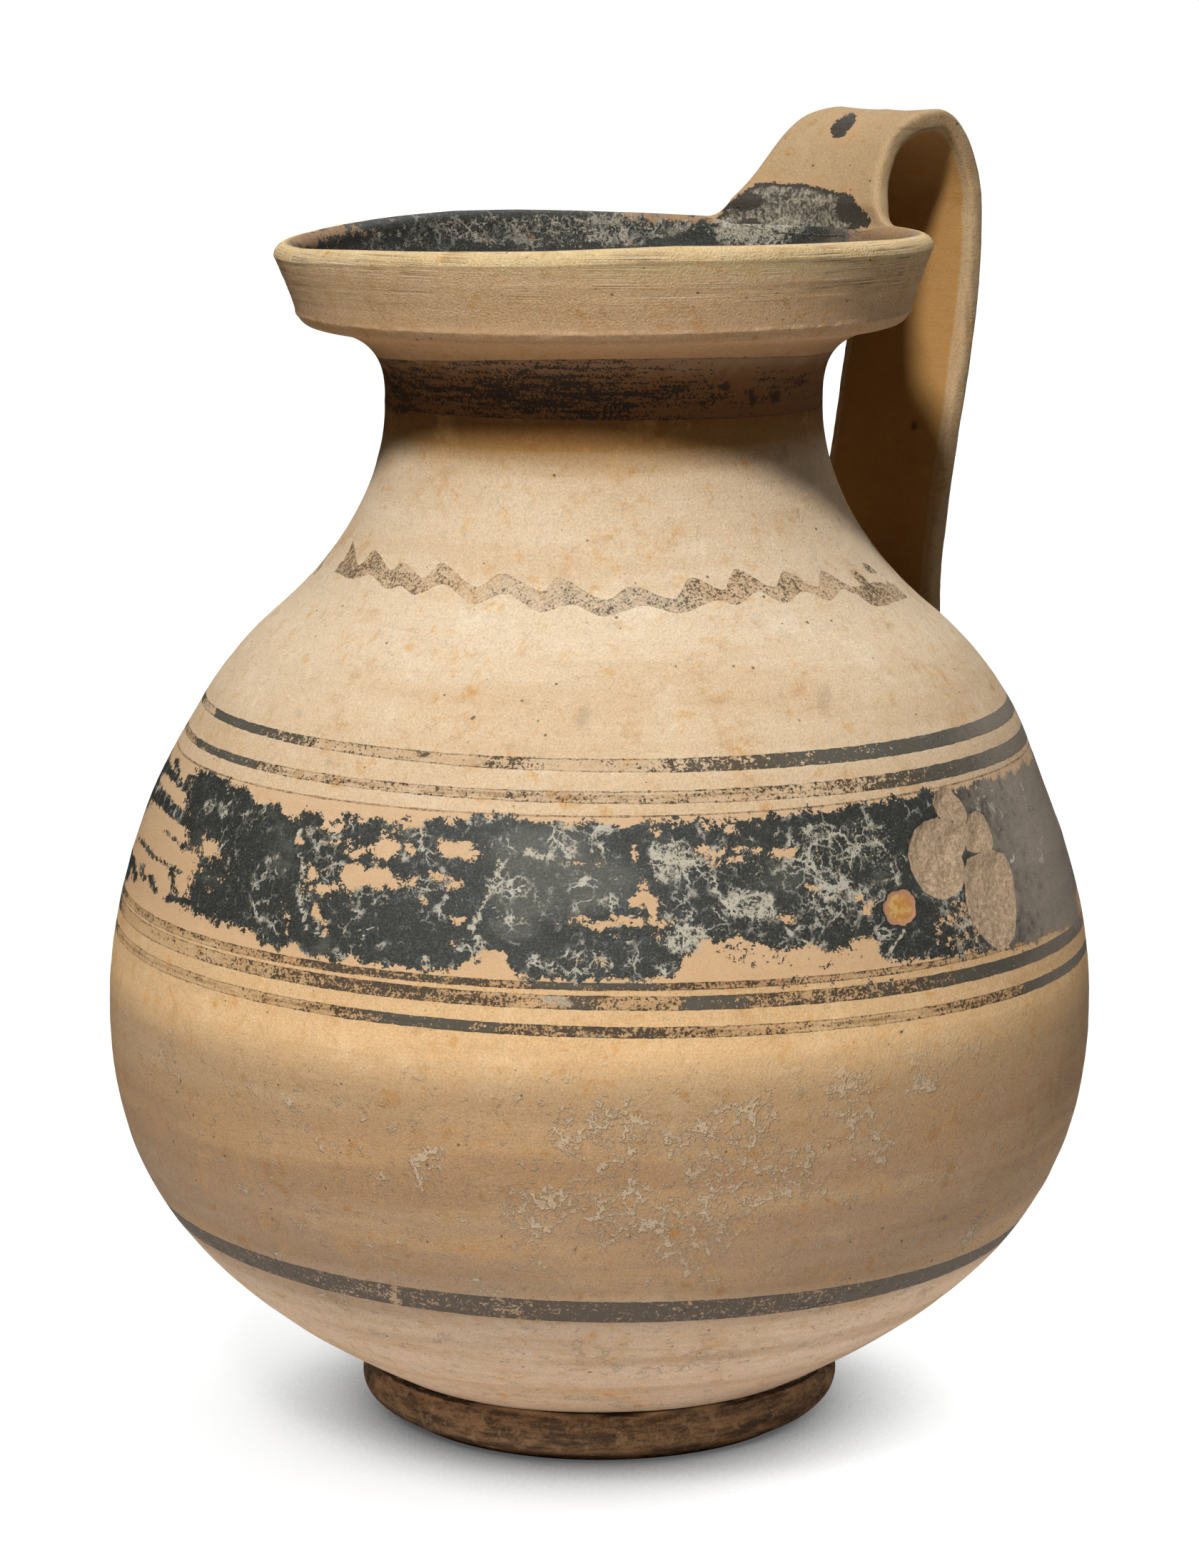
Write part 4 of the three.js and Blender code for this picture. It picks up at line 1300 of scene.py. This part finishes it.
def pot_places(w):
    """Where a point of the pot is: its height, how far it is to the right and round, and if inside."""
    across, away, level = (w.dot(way) * (1 / MM) for way in (view_right, view_forward, (0, 0, 1)))
    radius = w.math("SQRT", across * across + away * away)
    inner = w.field("inner").fade(0.4, 0.6)
    return SimpleNamespace(
        level=level,
        aside=across / most(radius, 1.0),
        arc=w.math("ARCTAN2", across, away * -1) * BELLY_RADIUS,
        inner=inner,
        outside=1.0 - inner,
        low=level.fade(*LOW_BODY),
        collar=level.fade(arris_height, arris_height + 2),
    )


def base_coat(w, at):
    """The clay's colour at each height, with painted shade on the neck under the collar and the washes that
    run round the pot.
    """
    bands, washes = w.noise(9.0, 2, 0.6, squeeze=0.05), w.noise(10.0, 4, 0.6, squeeze=0.10)
    stops = [(height / POT_HEIGHT, colour) for height, colour in CLAY_AND_NECK_SHADE_BY_HEIGHT]
    coat = Coat(w, w.ramp((bands * 2.0 + at.level) / POT_HEIGHT, stops))
    coat.lay(INSIDE_CLAY, at.inner)
    coat.lay(DARK_CLAY, bands.fade(0.0, 0.8) * at.low * 0.46)
    coat.lay(YELLOW_CLAY, bands.fade(0.0, -0.8) * at.low * 0.30)
    coat.lay(WASHED_ORANGE, washes.fade(0.0, 0.8) * at.outside * (at.low * 0.15 + 0.33))
    coat.tint(PALER, washes.fade(-0.2, -0.9) * at.outside * 0.5)
    return coat.made


def pot_grain(w, at, broad, mid, fine):
    """The noises that break up the paint, and the sheen: where the black is glossier and a painted sheen
    lightens it towards the right edge.
    """
    speck, flake, small = w.noise(0.5, 3, 0.7), w.noise(2.3, 5, 0.6), w.cells(0.36)
    crumbs, streak = w.cells(0.75) * 0.5 + small * 0.6, w.noise(1.0, 3, 0.65, squeeze=0.12)
    return SimpleNamespace(
        broad=broad, mid=mid, fine=fine, speck=speck, flake=flake, small=small, crumbs=crumbs, streak=streak,
        wobble=w.noise(2.5, 2) * 0.09,
        sheen=(at.aside + mid * 0.03).fade(0.78, 0.94),
        broken=speck * 0.40 + flake * 0.26 + streak * 0.20 + crumbs * 0.40,
    )


def slanted(w, at, rise, stretch):
    """Noise in short strokes that climb rise millimetres for each millimetre round the pot."""
    flat = w.node("ShaderNodeCombineXYZ")
    w.feed(flat.inputs[0], (at.level - at.arc * rise) * MM)
    w.feed(flat.inputs[1], (at.arc + at.level * rise) * (MM / stretch))
    return w.noise(STROKE_WIDTH, 3, 0.65, 0.5, place=flat.outputs[0])


def lay_crusts(w, at, coat):
    """Pale raised scratches on the collar and crusts on the lower body, with their height."""
    off_patch, over_patch = abs(at.aside - PATCH_ASIDE), abs(at.level - PATCH_HEIGHT)
    patch = off_patch.fade(0.5, 0.1) * over_patch.fade(26, 8)
    patchy = (w.noise(12, 3) + patch * 0.9).fade(0.25, 0.9)
    scratch = slanted(w, at, 0.9, 6.0).fade(0.46, 0.85) * w.noise(12, 3).fade(-0.2, 0.6) * at.collar
    broken_up = (w.noise(2.4, 4, 0.7) + patchy * 0.8).fade(0.32, 0.85)
    net = most(w.web(9.0, 10.0).fade(0.60, 0.24), w.web(4.0, 5.0).fade(0.32, 0.12) * 0.8)
    lumps = w.noise(1.0, 4, 0.75).fade(0.45, 0.95) * 0.8
    crust = most(net, lumps) * broken_up * at.low
    coat.lay(CRUST, most(scratch, crust) * 0.40)
    return scratch * 0.12 + crust * 0.30


def lay_turning(w, at, coat):
    """The fine lines of turning on the collar and the sand in the clay, with their height."""
    high = at.level.fade(arris_height + 2, arris_height + 9)
    turned = w.noise(0.30, 2, 0.6, squeeze=0.012) * at.collar * high * at.outside
    turned = turned * w.noise(9, 2).fade(-0.7, 0.6)
    sand = w.noise(0.45, 2, 0.8)
    coat.lay(DARK_CLAY, turned.fade(0.15, 0.8) * 0.66)
    coat.lay(PALE, turned.fade(-0.15, -0.8) * 0.62)
    return turned * 0.12 + sand * at.collar * 0.09 + sand * at.low * 0.04


class Line:
    """A painted line round the pot: its body, its thin edges and its core, from 0 to 1."""

    def __init__(self, w, at, top, bottom, core=0.0, wobble=0.0):
        upper, lower = ((at.aside * bow + tilt) * at.aside + height for height, tilt, bow in (top, bottom))
        inside = w.math("MINIMUM", upper - at.level, at.level - lower) + wobble
        self.body = inside.fade(0.0, 0.14)
        self.edge = self.body * inside.fade(0.36, 0.2)
        off = abs(at.level - (upper + lower) * 0.5) + wobble
        self.core = off.fade(core + 0.1, core - 0.1) if core else 0.0


def lay_lines(w, at, grain, coat):
    """The wide band's bare clay and the lines' brown. Gives the lines, where they lie and the band."""
    lines = {name: Line(w, at, *line, grain.wobble) for name, line in LINES.items()}
    band = Line(w, at, LINES["reserve"][0], LINES["brown"][0]).body
    bodies = most(*(line.body for name, line in lines.items() if name not in ("neck", "lower")))
    solid, neck, brown = w.field("solid"), lines["neck"].body, lines["brown"].body
    brushed = (grain.streak * 0.6 + grain.speck * 0.5).fade(-0.6, 0.8)
    coat.lay(PEACH, band * at.outside * (grain.mid * 0.15 + 0.6))
    coat.lay(DARK_CLAY, bodies * at.outside * (brushed * 0.26 + 0.14))
    under_band = bodies * at.outside * at.level.fade(*UNDER_BAND) * solid.fade(0.1, 0.5)
    coat.lay(LINE_BROWN, under_band * (brushed * 0.45 + 0.32))
    coat.lay(WASH, neck * at.outside * (brushed * 0.15 + 0.78))
    dust = (at.level + w.noise(5, 3) * 1.2).fade(*DUST)
    coat.lay(NECK_DUST, neck * at.outside * dust * (grain.speck * 0.25 + 0.55))
    cores = most(brown * solid.fade(0.1, 0.8), lines["below band"].core, lines["shoulder 2"].core)
    coat.lay(BROWN, cores * at.outside * brushed * 0.8)
    return lines, bodies, band


def lay_ink(w, at, grain, coat, lines, bodies):
    """What is left of the lines' ink. Gives how completely it lies."""
    solid, neck, lower = w.field("solid"), lines["neck"].body, lines["lower"].body
    amount = solid * 1.35 - 0.18 + grain.broken
    neck_speck = grain.speck * 0.42 + grain.small * 0.28 + grain.streak * 0.50 + grain.flake * 0.15
    neck_amount = solid * 1.35 + neck_speck - abs(at.level - NECK_MIDDLE) * 0.06
    ink = most(
        bodies * amount.fade(0.44, 0.54),
        neck * neck_amount.fade(0.46, 0.56),
        lower * (amount + 0.02).fade(0.42, 0.60),
    ) * at.outside
    shade = Coat(w, DARK_BROWN)
    shade.lay(SOOT, solid.fade(0.4, 0.9))
    shade.lay(GREY_BLACK, grain.fine.fade(0.2, 1.0) * solid.fade(0.4, 0.9) * 0.7)
    # Painted sheen: the lines lighten towards the right edge.
    shade.lay(PAINTED_SHEEN_BLACK, grain.sheen * (1.0 - lower) * 0.5)
    shade.lay(LOWER_BLACK, lower * 0.8)
    shade.lay(NECK_BLACK, neck)
    edges = most(*(line.edge for line in lines.values()))
    coat.lay(DARK_BROWN, edges * (grain.broken.fade(-0.2, 0.3) * 0.55 + 0.22) * at.outside)
    coat.lay(shade, ink * 0.92)
    return ink


def lay_wave(w, at, grain, coat):
    """The wavy line on the shoulder."""
    wave = w.field("wave") + grain.wobble
    body = wave.fade(-0.02, 0.16)
    dark = w.field("wave_dark") + grain.speck * 0.40 + grain.flake * 0.25 + grain.small * 0.35
    veil = Coat(w, WAVE_BROWN)
    veil.lay(WAVE_GREY, abs(at.aside + 0.03).fade(0.40, 0.28))
    coat.lay(PEACH, body * 0.35)
    coat.lay(veil, body * dark.fade(-0.1, 0.6) * 0.45)
    edge = body * wave.fade(0.42, 0.2) * grain.broken.fade(-0.2, 0.5) * 0.6
    coat.lay(DARK_BROWN, most(body * dark.fade(0.62, 0.82) * 0.8, edge))


def black_paint(w, at, grain, grey):
    """The black, with its greyer and bluer places, and a painted sheen that lightens it towards the right
    edge.
    """
    paint = Coat(w, BLACK)
    paint.lay(SOOT, grain.fine.fade(-0.6, 1.0))
    paint.lay(BLUE_BLACK, (grain.speck + grain.mid * 0.6).fade(0.2, 1.0) * 0.75)
    paint.lay(GREY_BLACK, (grain.broad + grain.streak * 0.3).fade(0.2, 1.2) * 0.5)
    paint.lay(GREY_BLACK, grey * (grain.speck * 0.25 + 0.45))
    # Painted sheen: the black lightens towards the band's right edge.
    paint.lay(PAINTED_SHEEN_RIGHT, at.aside.fade(0.72, 0.82) * (grain.mid + grain.speck).fade(-1.4, 0.4))
    paint.lay(PAINTED_SHEEN_BLACK, grain.mid.fade(-2.6, 0.0) * grain.sheen)
    return paint


def chalk_marks(w, at, grain, chalk):
    """Rubbed chalk and its thin threads, each from 0 to 1."""
    veil, feather = w.noise(3.4, 5, 0.7, 1.5), most(slanted(w, at, 0.7, 4.0), slanted(w, at, -0.9, 4.0))
    rubbed = (chalk + veil * 0.46 + grain.speck * 0.34 + grain.crumbs * 0.16).fade(0.68, 0.98)
    strokes = feather.fade(0.45, 0.95) * (chalk + veil * 0.4).fade(0.35, 0.8) * 0.8
    cloud = (chalk + w.noise(7.0, 2) * 0.45 + grain.flake * 0.35).fade(0.27, 0.70)
    net = most(w.web(8.0, 7.0).fade(0.36, 0.10), w.web(3.6, 4.0).fade(0.22, 0.06) * 0.8)
    return most(rubbed, strokes), net * cloud * (at.outside * 0.4 + 0.6)


def lay_black(w, at, grain, coat, lined):
    """Blots, the black and its chalk. Gives how completely black and chalk lie."""
    grey, chalk, blot = w.field("grey"), w.field("chalk"), w.field("blots")
    chips = w.cells(2.0) * 0.24 + w.cells(0.9) * 0.24 + grain.small * 0.20
    cover = w.field("cover") + chips + grain.flake * 0.12 + grain.speck * 0.14
    black = (cover + grey * 0.25).fade(0.46, 0.52)
    speckled = (blot + grain.broken * 0.45).fade(0.32, 0.58) * blot.fade(0.45, 0.7)
    blots = speckled + blot * blot.fade(0.7, 0.45) * 0.55
    paint = black_paint(w, at, grain, grey)
    rubbed, threads = chalk_marks(w, at, grain, chalk)
    paint.lay(CHALK_COLOUR, rubbed * 0.85)
    paint.lay(WISP, threads * 0.8)
    coat.lay(DARK_BROWN, blots * at.outside * 0.85)
    coat.lay(paint, black)
    coat.lay(CHALK_COLOUR, chalk.fade(0.4, 0.9) * most(rubbed, threads) * lined * at.outside * 0.7)
    return black, rubbed


def lay_flakes(w, grain, coat):
    """The broken faces where flakes came off, and the stone. Gives where and how rough they are."""
    spall = (w.field("spall") + grain.wobble * 1.5).fade(-0.08, 0.08)
    grit = w.noise(1.0, 5, 0.78)
    face, stone = Coat(w, BROKEN_SHADE), Coat(w, STONE_ORANGE)
    face.lay(BROKEN_CLAY, grit.fade(-0.7, 0.7))
    coat.lay(face, spall)
    inside = w.field("stone") + w.noise(2.0, 2) * 0.3
    stone.lay(STONE_YELLOW, w.noise(1.3, 3).fade(-0.3, 0.6))
    stone.lay(STONE_RIM, inside.fade(1.3, 0.4))
    coat.lay(BLACK, inside.fade(-0.6, -0.1) * inside.fade(0.1, -0.1) * 0.6)
    coat.lay(stone, inside.fade(-0.1, 0.1))
    return spall, grit


def lay_foot(w, at, grain, coat):
    """The foot's dirt and the groove over it. Gives the groove."""
    top = foot_top[1]
    smear, dirt = w.noise(2.2, 5, 0.75, squeeze=0.2), Coat(w, FOOT_BLACK)
    dirt.lay(FOOT_BROWN, (smear + grain.speck * 0.3).fade(-0.6, 0.7))
    dirt.lay(FOOT_WARM, grain.mid.fade(0.1, 0.8) * 0.5)
    coat.lay(dirt, (at.level + smear * 0.35).fade(top + 0.4, top - 0.8) * at.outside * 0.93)
    off = abs(at.level - (grain.wobble * 1.5 + top))
    groove = off.fade(0.45, 0.12) * w.noise(18, 1).fade(-0.5, 0.2) * at.outside
    coat.lay(GROOVE_BLACK, groove * 0.9)
    return groove


def pot_material():
    w = Wires("pot_clay")
    at = pot_places(w)
    coat, height, *noises = clay_coat(w, base_coat(w, at), at.low * 0.08 + 0.05)
    grain = pot_grain(w, at, *noises)
    height += lay_crusts(w, at, coat) + lay_turning(w, at, coat)
    lines, bodies, band = lay_lines(w, at, grain, coat)
    ink = lay_ink(w, at, grain, coat, lines, bodies)
    lay_wave(w, at, grain, coat)
    black, rubbed = lay_black(w, at, grain, coat, most(bodies, band))
    spall, grit = lay_flakes(w, grain, coat)
    groove = lay_foot(w, at, grain, coat)
    height += most(black, ink) * 0.035 - groove * 0.3 + spall * grit * 0.22 + rubbed * black * 0.02
    paint = most(black, ink * 0.5) * 0.36
    dull = 0.84 - paint + rubbed * black * 0.22 - grain.sheen * black * at.outside * 0.12
    return w.finish(coat, most(dull, spall * 0.9), height)


def strap_material():
    w = Wires("handle_clay")
    coat, height, _, mid, fine = clay_coat(w, HANDLE_CLAY, 0.08)
    speck, flake = w.noise(0.6, 3, 0.7), w.noise(2.0, 4, 0.65)
    # Painted shade on the strap's inner face, which faces the pot.
    coat.lay(INNER_FACE_SHADE, w.field("inner") * 0.75)
    coat.lay(ROOT_MARGIN, (w.field("margin") + flake * 0.35).fade(0.25, 0.9) * 0.5)
    black = (w.field("cover") + flake * 0.22 + w.cells(0.6) * 0.25).fade(0.44, 0.54)
    rubbed = w.noise(2.2, 4, 0.7, 1.0) * 0.6 + speck * 0.5 - w.field("solid") * 1.5
    paint = Coat(w, BLACK)
    paint.lay(SOOT, fine.fade(-0.6, 1.0))
    paint.lay(CHALK_COLOUR, rubbed.fade(-0.5, 0.6) * 0.8)
    coat.lay(PIT, w.field("blots") * 0.8)
    coat.lay(paint, black * 0.95)
    return w.finish(coat, 0.8 - black * 0.25, height + black * 0.03 + mid * 0.02)


# Light, floor and world

# Lamps: turn, height angle and width in degrees, and strength
LAMPS = (
    ("key", 17.0, 50.0, 9.0, 3.2),
    ("back", -162.0, 40.0, 30.0, 0.8),
    ("side", -120.0, 28.0, 40.0, 0.20),
)
WORLD_COLOUR, WORLD_LIGHT = (1.0, 0.84, 0.68, 1), 0.03
TABLE_COLOUR, TABLE_RADIUS, TABLE_EDGE, TABLE_FORWARD = 0.88, 0.25, 0.06, 0.10
FLOOR_HALF, FLOOR_GLOW, FLOOR_FAINT, FLOOR_SHADE_REACH, FLOOR_SHADE_POWER = 6.0, 1.06, 0.10, 0.10, 1.8
SHADE_LEFT, SHADE_RIGHT, SHADE_HALF, CONTACT, CONTACT_DARK = 0.56, 0.16, 0.09, (0.40, 0.15), 0.88


def lamp_toward(turn, elevation):
    flat = -view_forward * math.cos(rads(turn)) - view_right * math.sin(rads(turn))
    return Vector(flat * math.cos(rads(elevation)) + np.array([0, 0, math.sin(rads(elevation))]))


def add_lamps():
    for name, turn, elevation, width, strength in LAMPS:
        data = bpy.data.lights.new(name, "SUN")
        data.energy, data.angle = strength, math.radians(width)
        lamp = bpy.data.objects.new(name, data)
        bpy.context.scene.collection.objects.link(lamp)
        lamp.rotation_mode = "QUATERNION"
        lamp.rotation_quaternion = (-lamp_toward(turn, elevation)).to_track_quat("-Z", "Y")


def add_world():
    """Faint light from all round, which the camera sees as plain white."""
    world = bpy.data.worlds.new("studio")
    bpy.context.scene.world = world
    world.use_nodes = True
    nodes, links = world.node_tree.nodes, world.node_tree.links
    nodes.clear()
    kinds = ("LightPath", "Background", "Background", "Math", "MixShader", "OutputWorld")
    path, light, seen, shown, mix, out = (nodes.new("ShaderNode" + kind) for kind in kinds)
    light.inputs["Color"].default_value = WORLD_COLOUR
    light.inputs["Strength"].default_value = WORLD_LIGHT
    seen.inputs["Color"].default_value = (1, 1, 1, 1)
    shown.operation = "MAXIMUM"
    links.new(path.outputs["Is Camera Ray"], shown.inputs[0])
    links.new(path.outputs["Is Transmission Ray"], shown.inputs[1])
    for socket, source in zip(mix.inputs, (shown, light, seen)):
        links.new(source.outputs[0], socket)
    links.new(mix.outputs[0], out.inputs[0])


def add_floor():
    """A white floor with a painted shadow near the pot, that throws light up only where the pot's table is.
    """
    mesh = bpy.data.meshes.new("floor")
    corners = [(x * FLOOR_HALF, y * FLOOR_HALF, 0) for x, y in ((-1, -1), (1, -1), (1, 1), (-1, 1))]
    mesh.from_pydata(corners, [], [(0, 1, 2, 3)])
    floor = bpy.data.objects.new("floor", mesh)
    bpy.context.scene.collection.objects.link(floor)
    mesh.materials.append(floor_material())


def floor_material():
    """What the camera sees glows, darkened round the pot into a painted shadow, and what light meets is a
    grey table.
    """
    w = Wires("floor")
    w.tree.nodes.remove(w.shader)
    middle = w.vector("ADD", w.place, tuple(view_forward * TABLE_FORWARD)).outputs[0]
    reach = Value(w, w.vector("LENGTH", middle).outputs["Value"])
    table = reach.fade(TABLE_RADIUS + TABLE_EDGE, TABLE_RADIUS) * TABLE_COLOUR
    near = w.node("ShaderNodeAmbientOcclusion")
    near.inputs["Distance"].default_value = FLOOR_SHADE_REACH
    open_share = Value(w, near.outputs["AO"])
    side = w.dot(view_right).fade(-SHADE_HALF, SHADE_HALF)
    depth = side * (SHADE_RIGHT - SHADE_LEFT) + SHADE_LEFT
    # Painted shadow: the glow darkens where ambient occlusion finds the pot, deeper on the left.
    shade = w.math("POWER", 1.0 - open_share, FLOOR_SHADE_POWER) * depth
    contact = open_share.fade(*CONTACT) * CONTACT_DARK
    thrown, faint = w.node("ShaderNodeBsdfDiffuse"), w.node("ShaderNodeBsdfDiffuse")
    w.feed(thrown.inputs["Color"], table.made)
    w.feed(faint.inputs["Color"], (FLOOR_FAINT,) * 3)
    glow, shown, both = (w.node("ShaderNode" + kind) for kind in ("Emission", "AddShader", "MixShader"))
    w.feed(glow.inputs["Strength"], (1.0 - shade) * (1.0 - contact) * FLOOR_GLOW)
    camera_sees = w.node("ShaderNodeLightPath").outputs["Is Camera Ray"]
    for node, sources in ((shown, (faint, glow)), (both, (camera_sees, thrown, shown))):
        for socket, source in zip(node.inputs, sources):
            w.feed(socket, source.outputs[0] if hasattr(source, "outputs") else source)
    w.feed(w.tree.nodes["Material Output"].inputs["Surface"], both.outputs[0])
    return w.material


# The whole

add_camera()
add_world()
add_floor()
add_lamps()

pot_clay = pot_material()
for build, node, slot, material in (
    (foot_piece, "foot_ring", "foot_clay", pot_clay),
    (bowl_piece, "body_bowl", "bowl_clay", pot_clay),
    (shoulder_piece, "shoulder", "shoulder_clay", pot_clay),
    (neck_piece, "neck", "neck_clay", pot_clay),
    (collar_piece, "mouth_collar", "collar_clay", pot_clay),
    (strap_piece, "strap_handle", "handle_clay", strap_material()),
):
    piece = build(material)
    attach(piece, "root")
    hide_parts(node)

bpy.context.scene.view_settings.view_transform = "Standard"
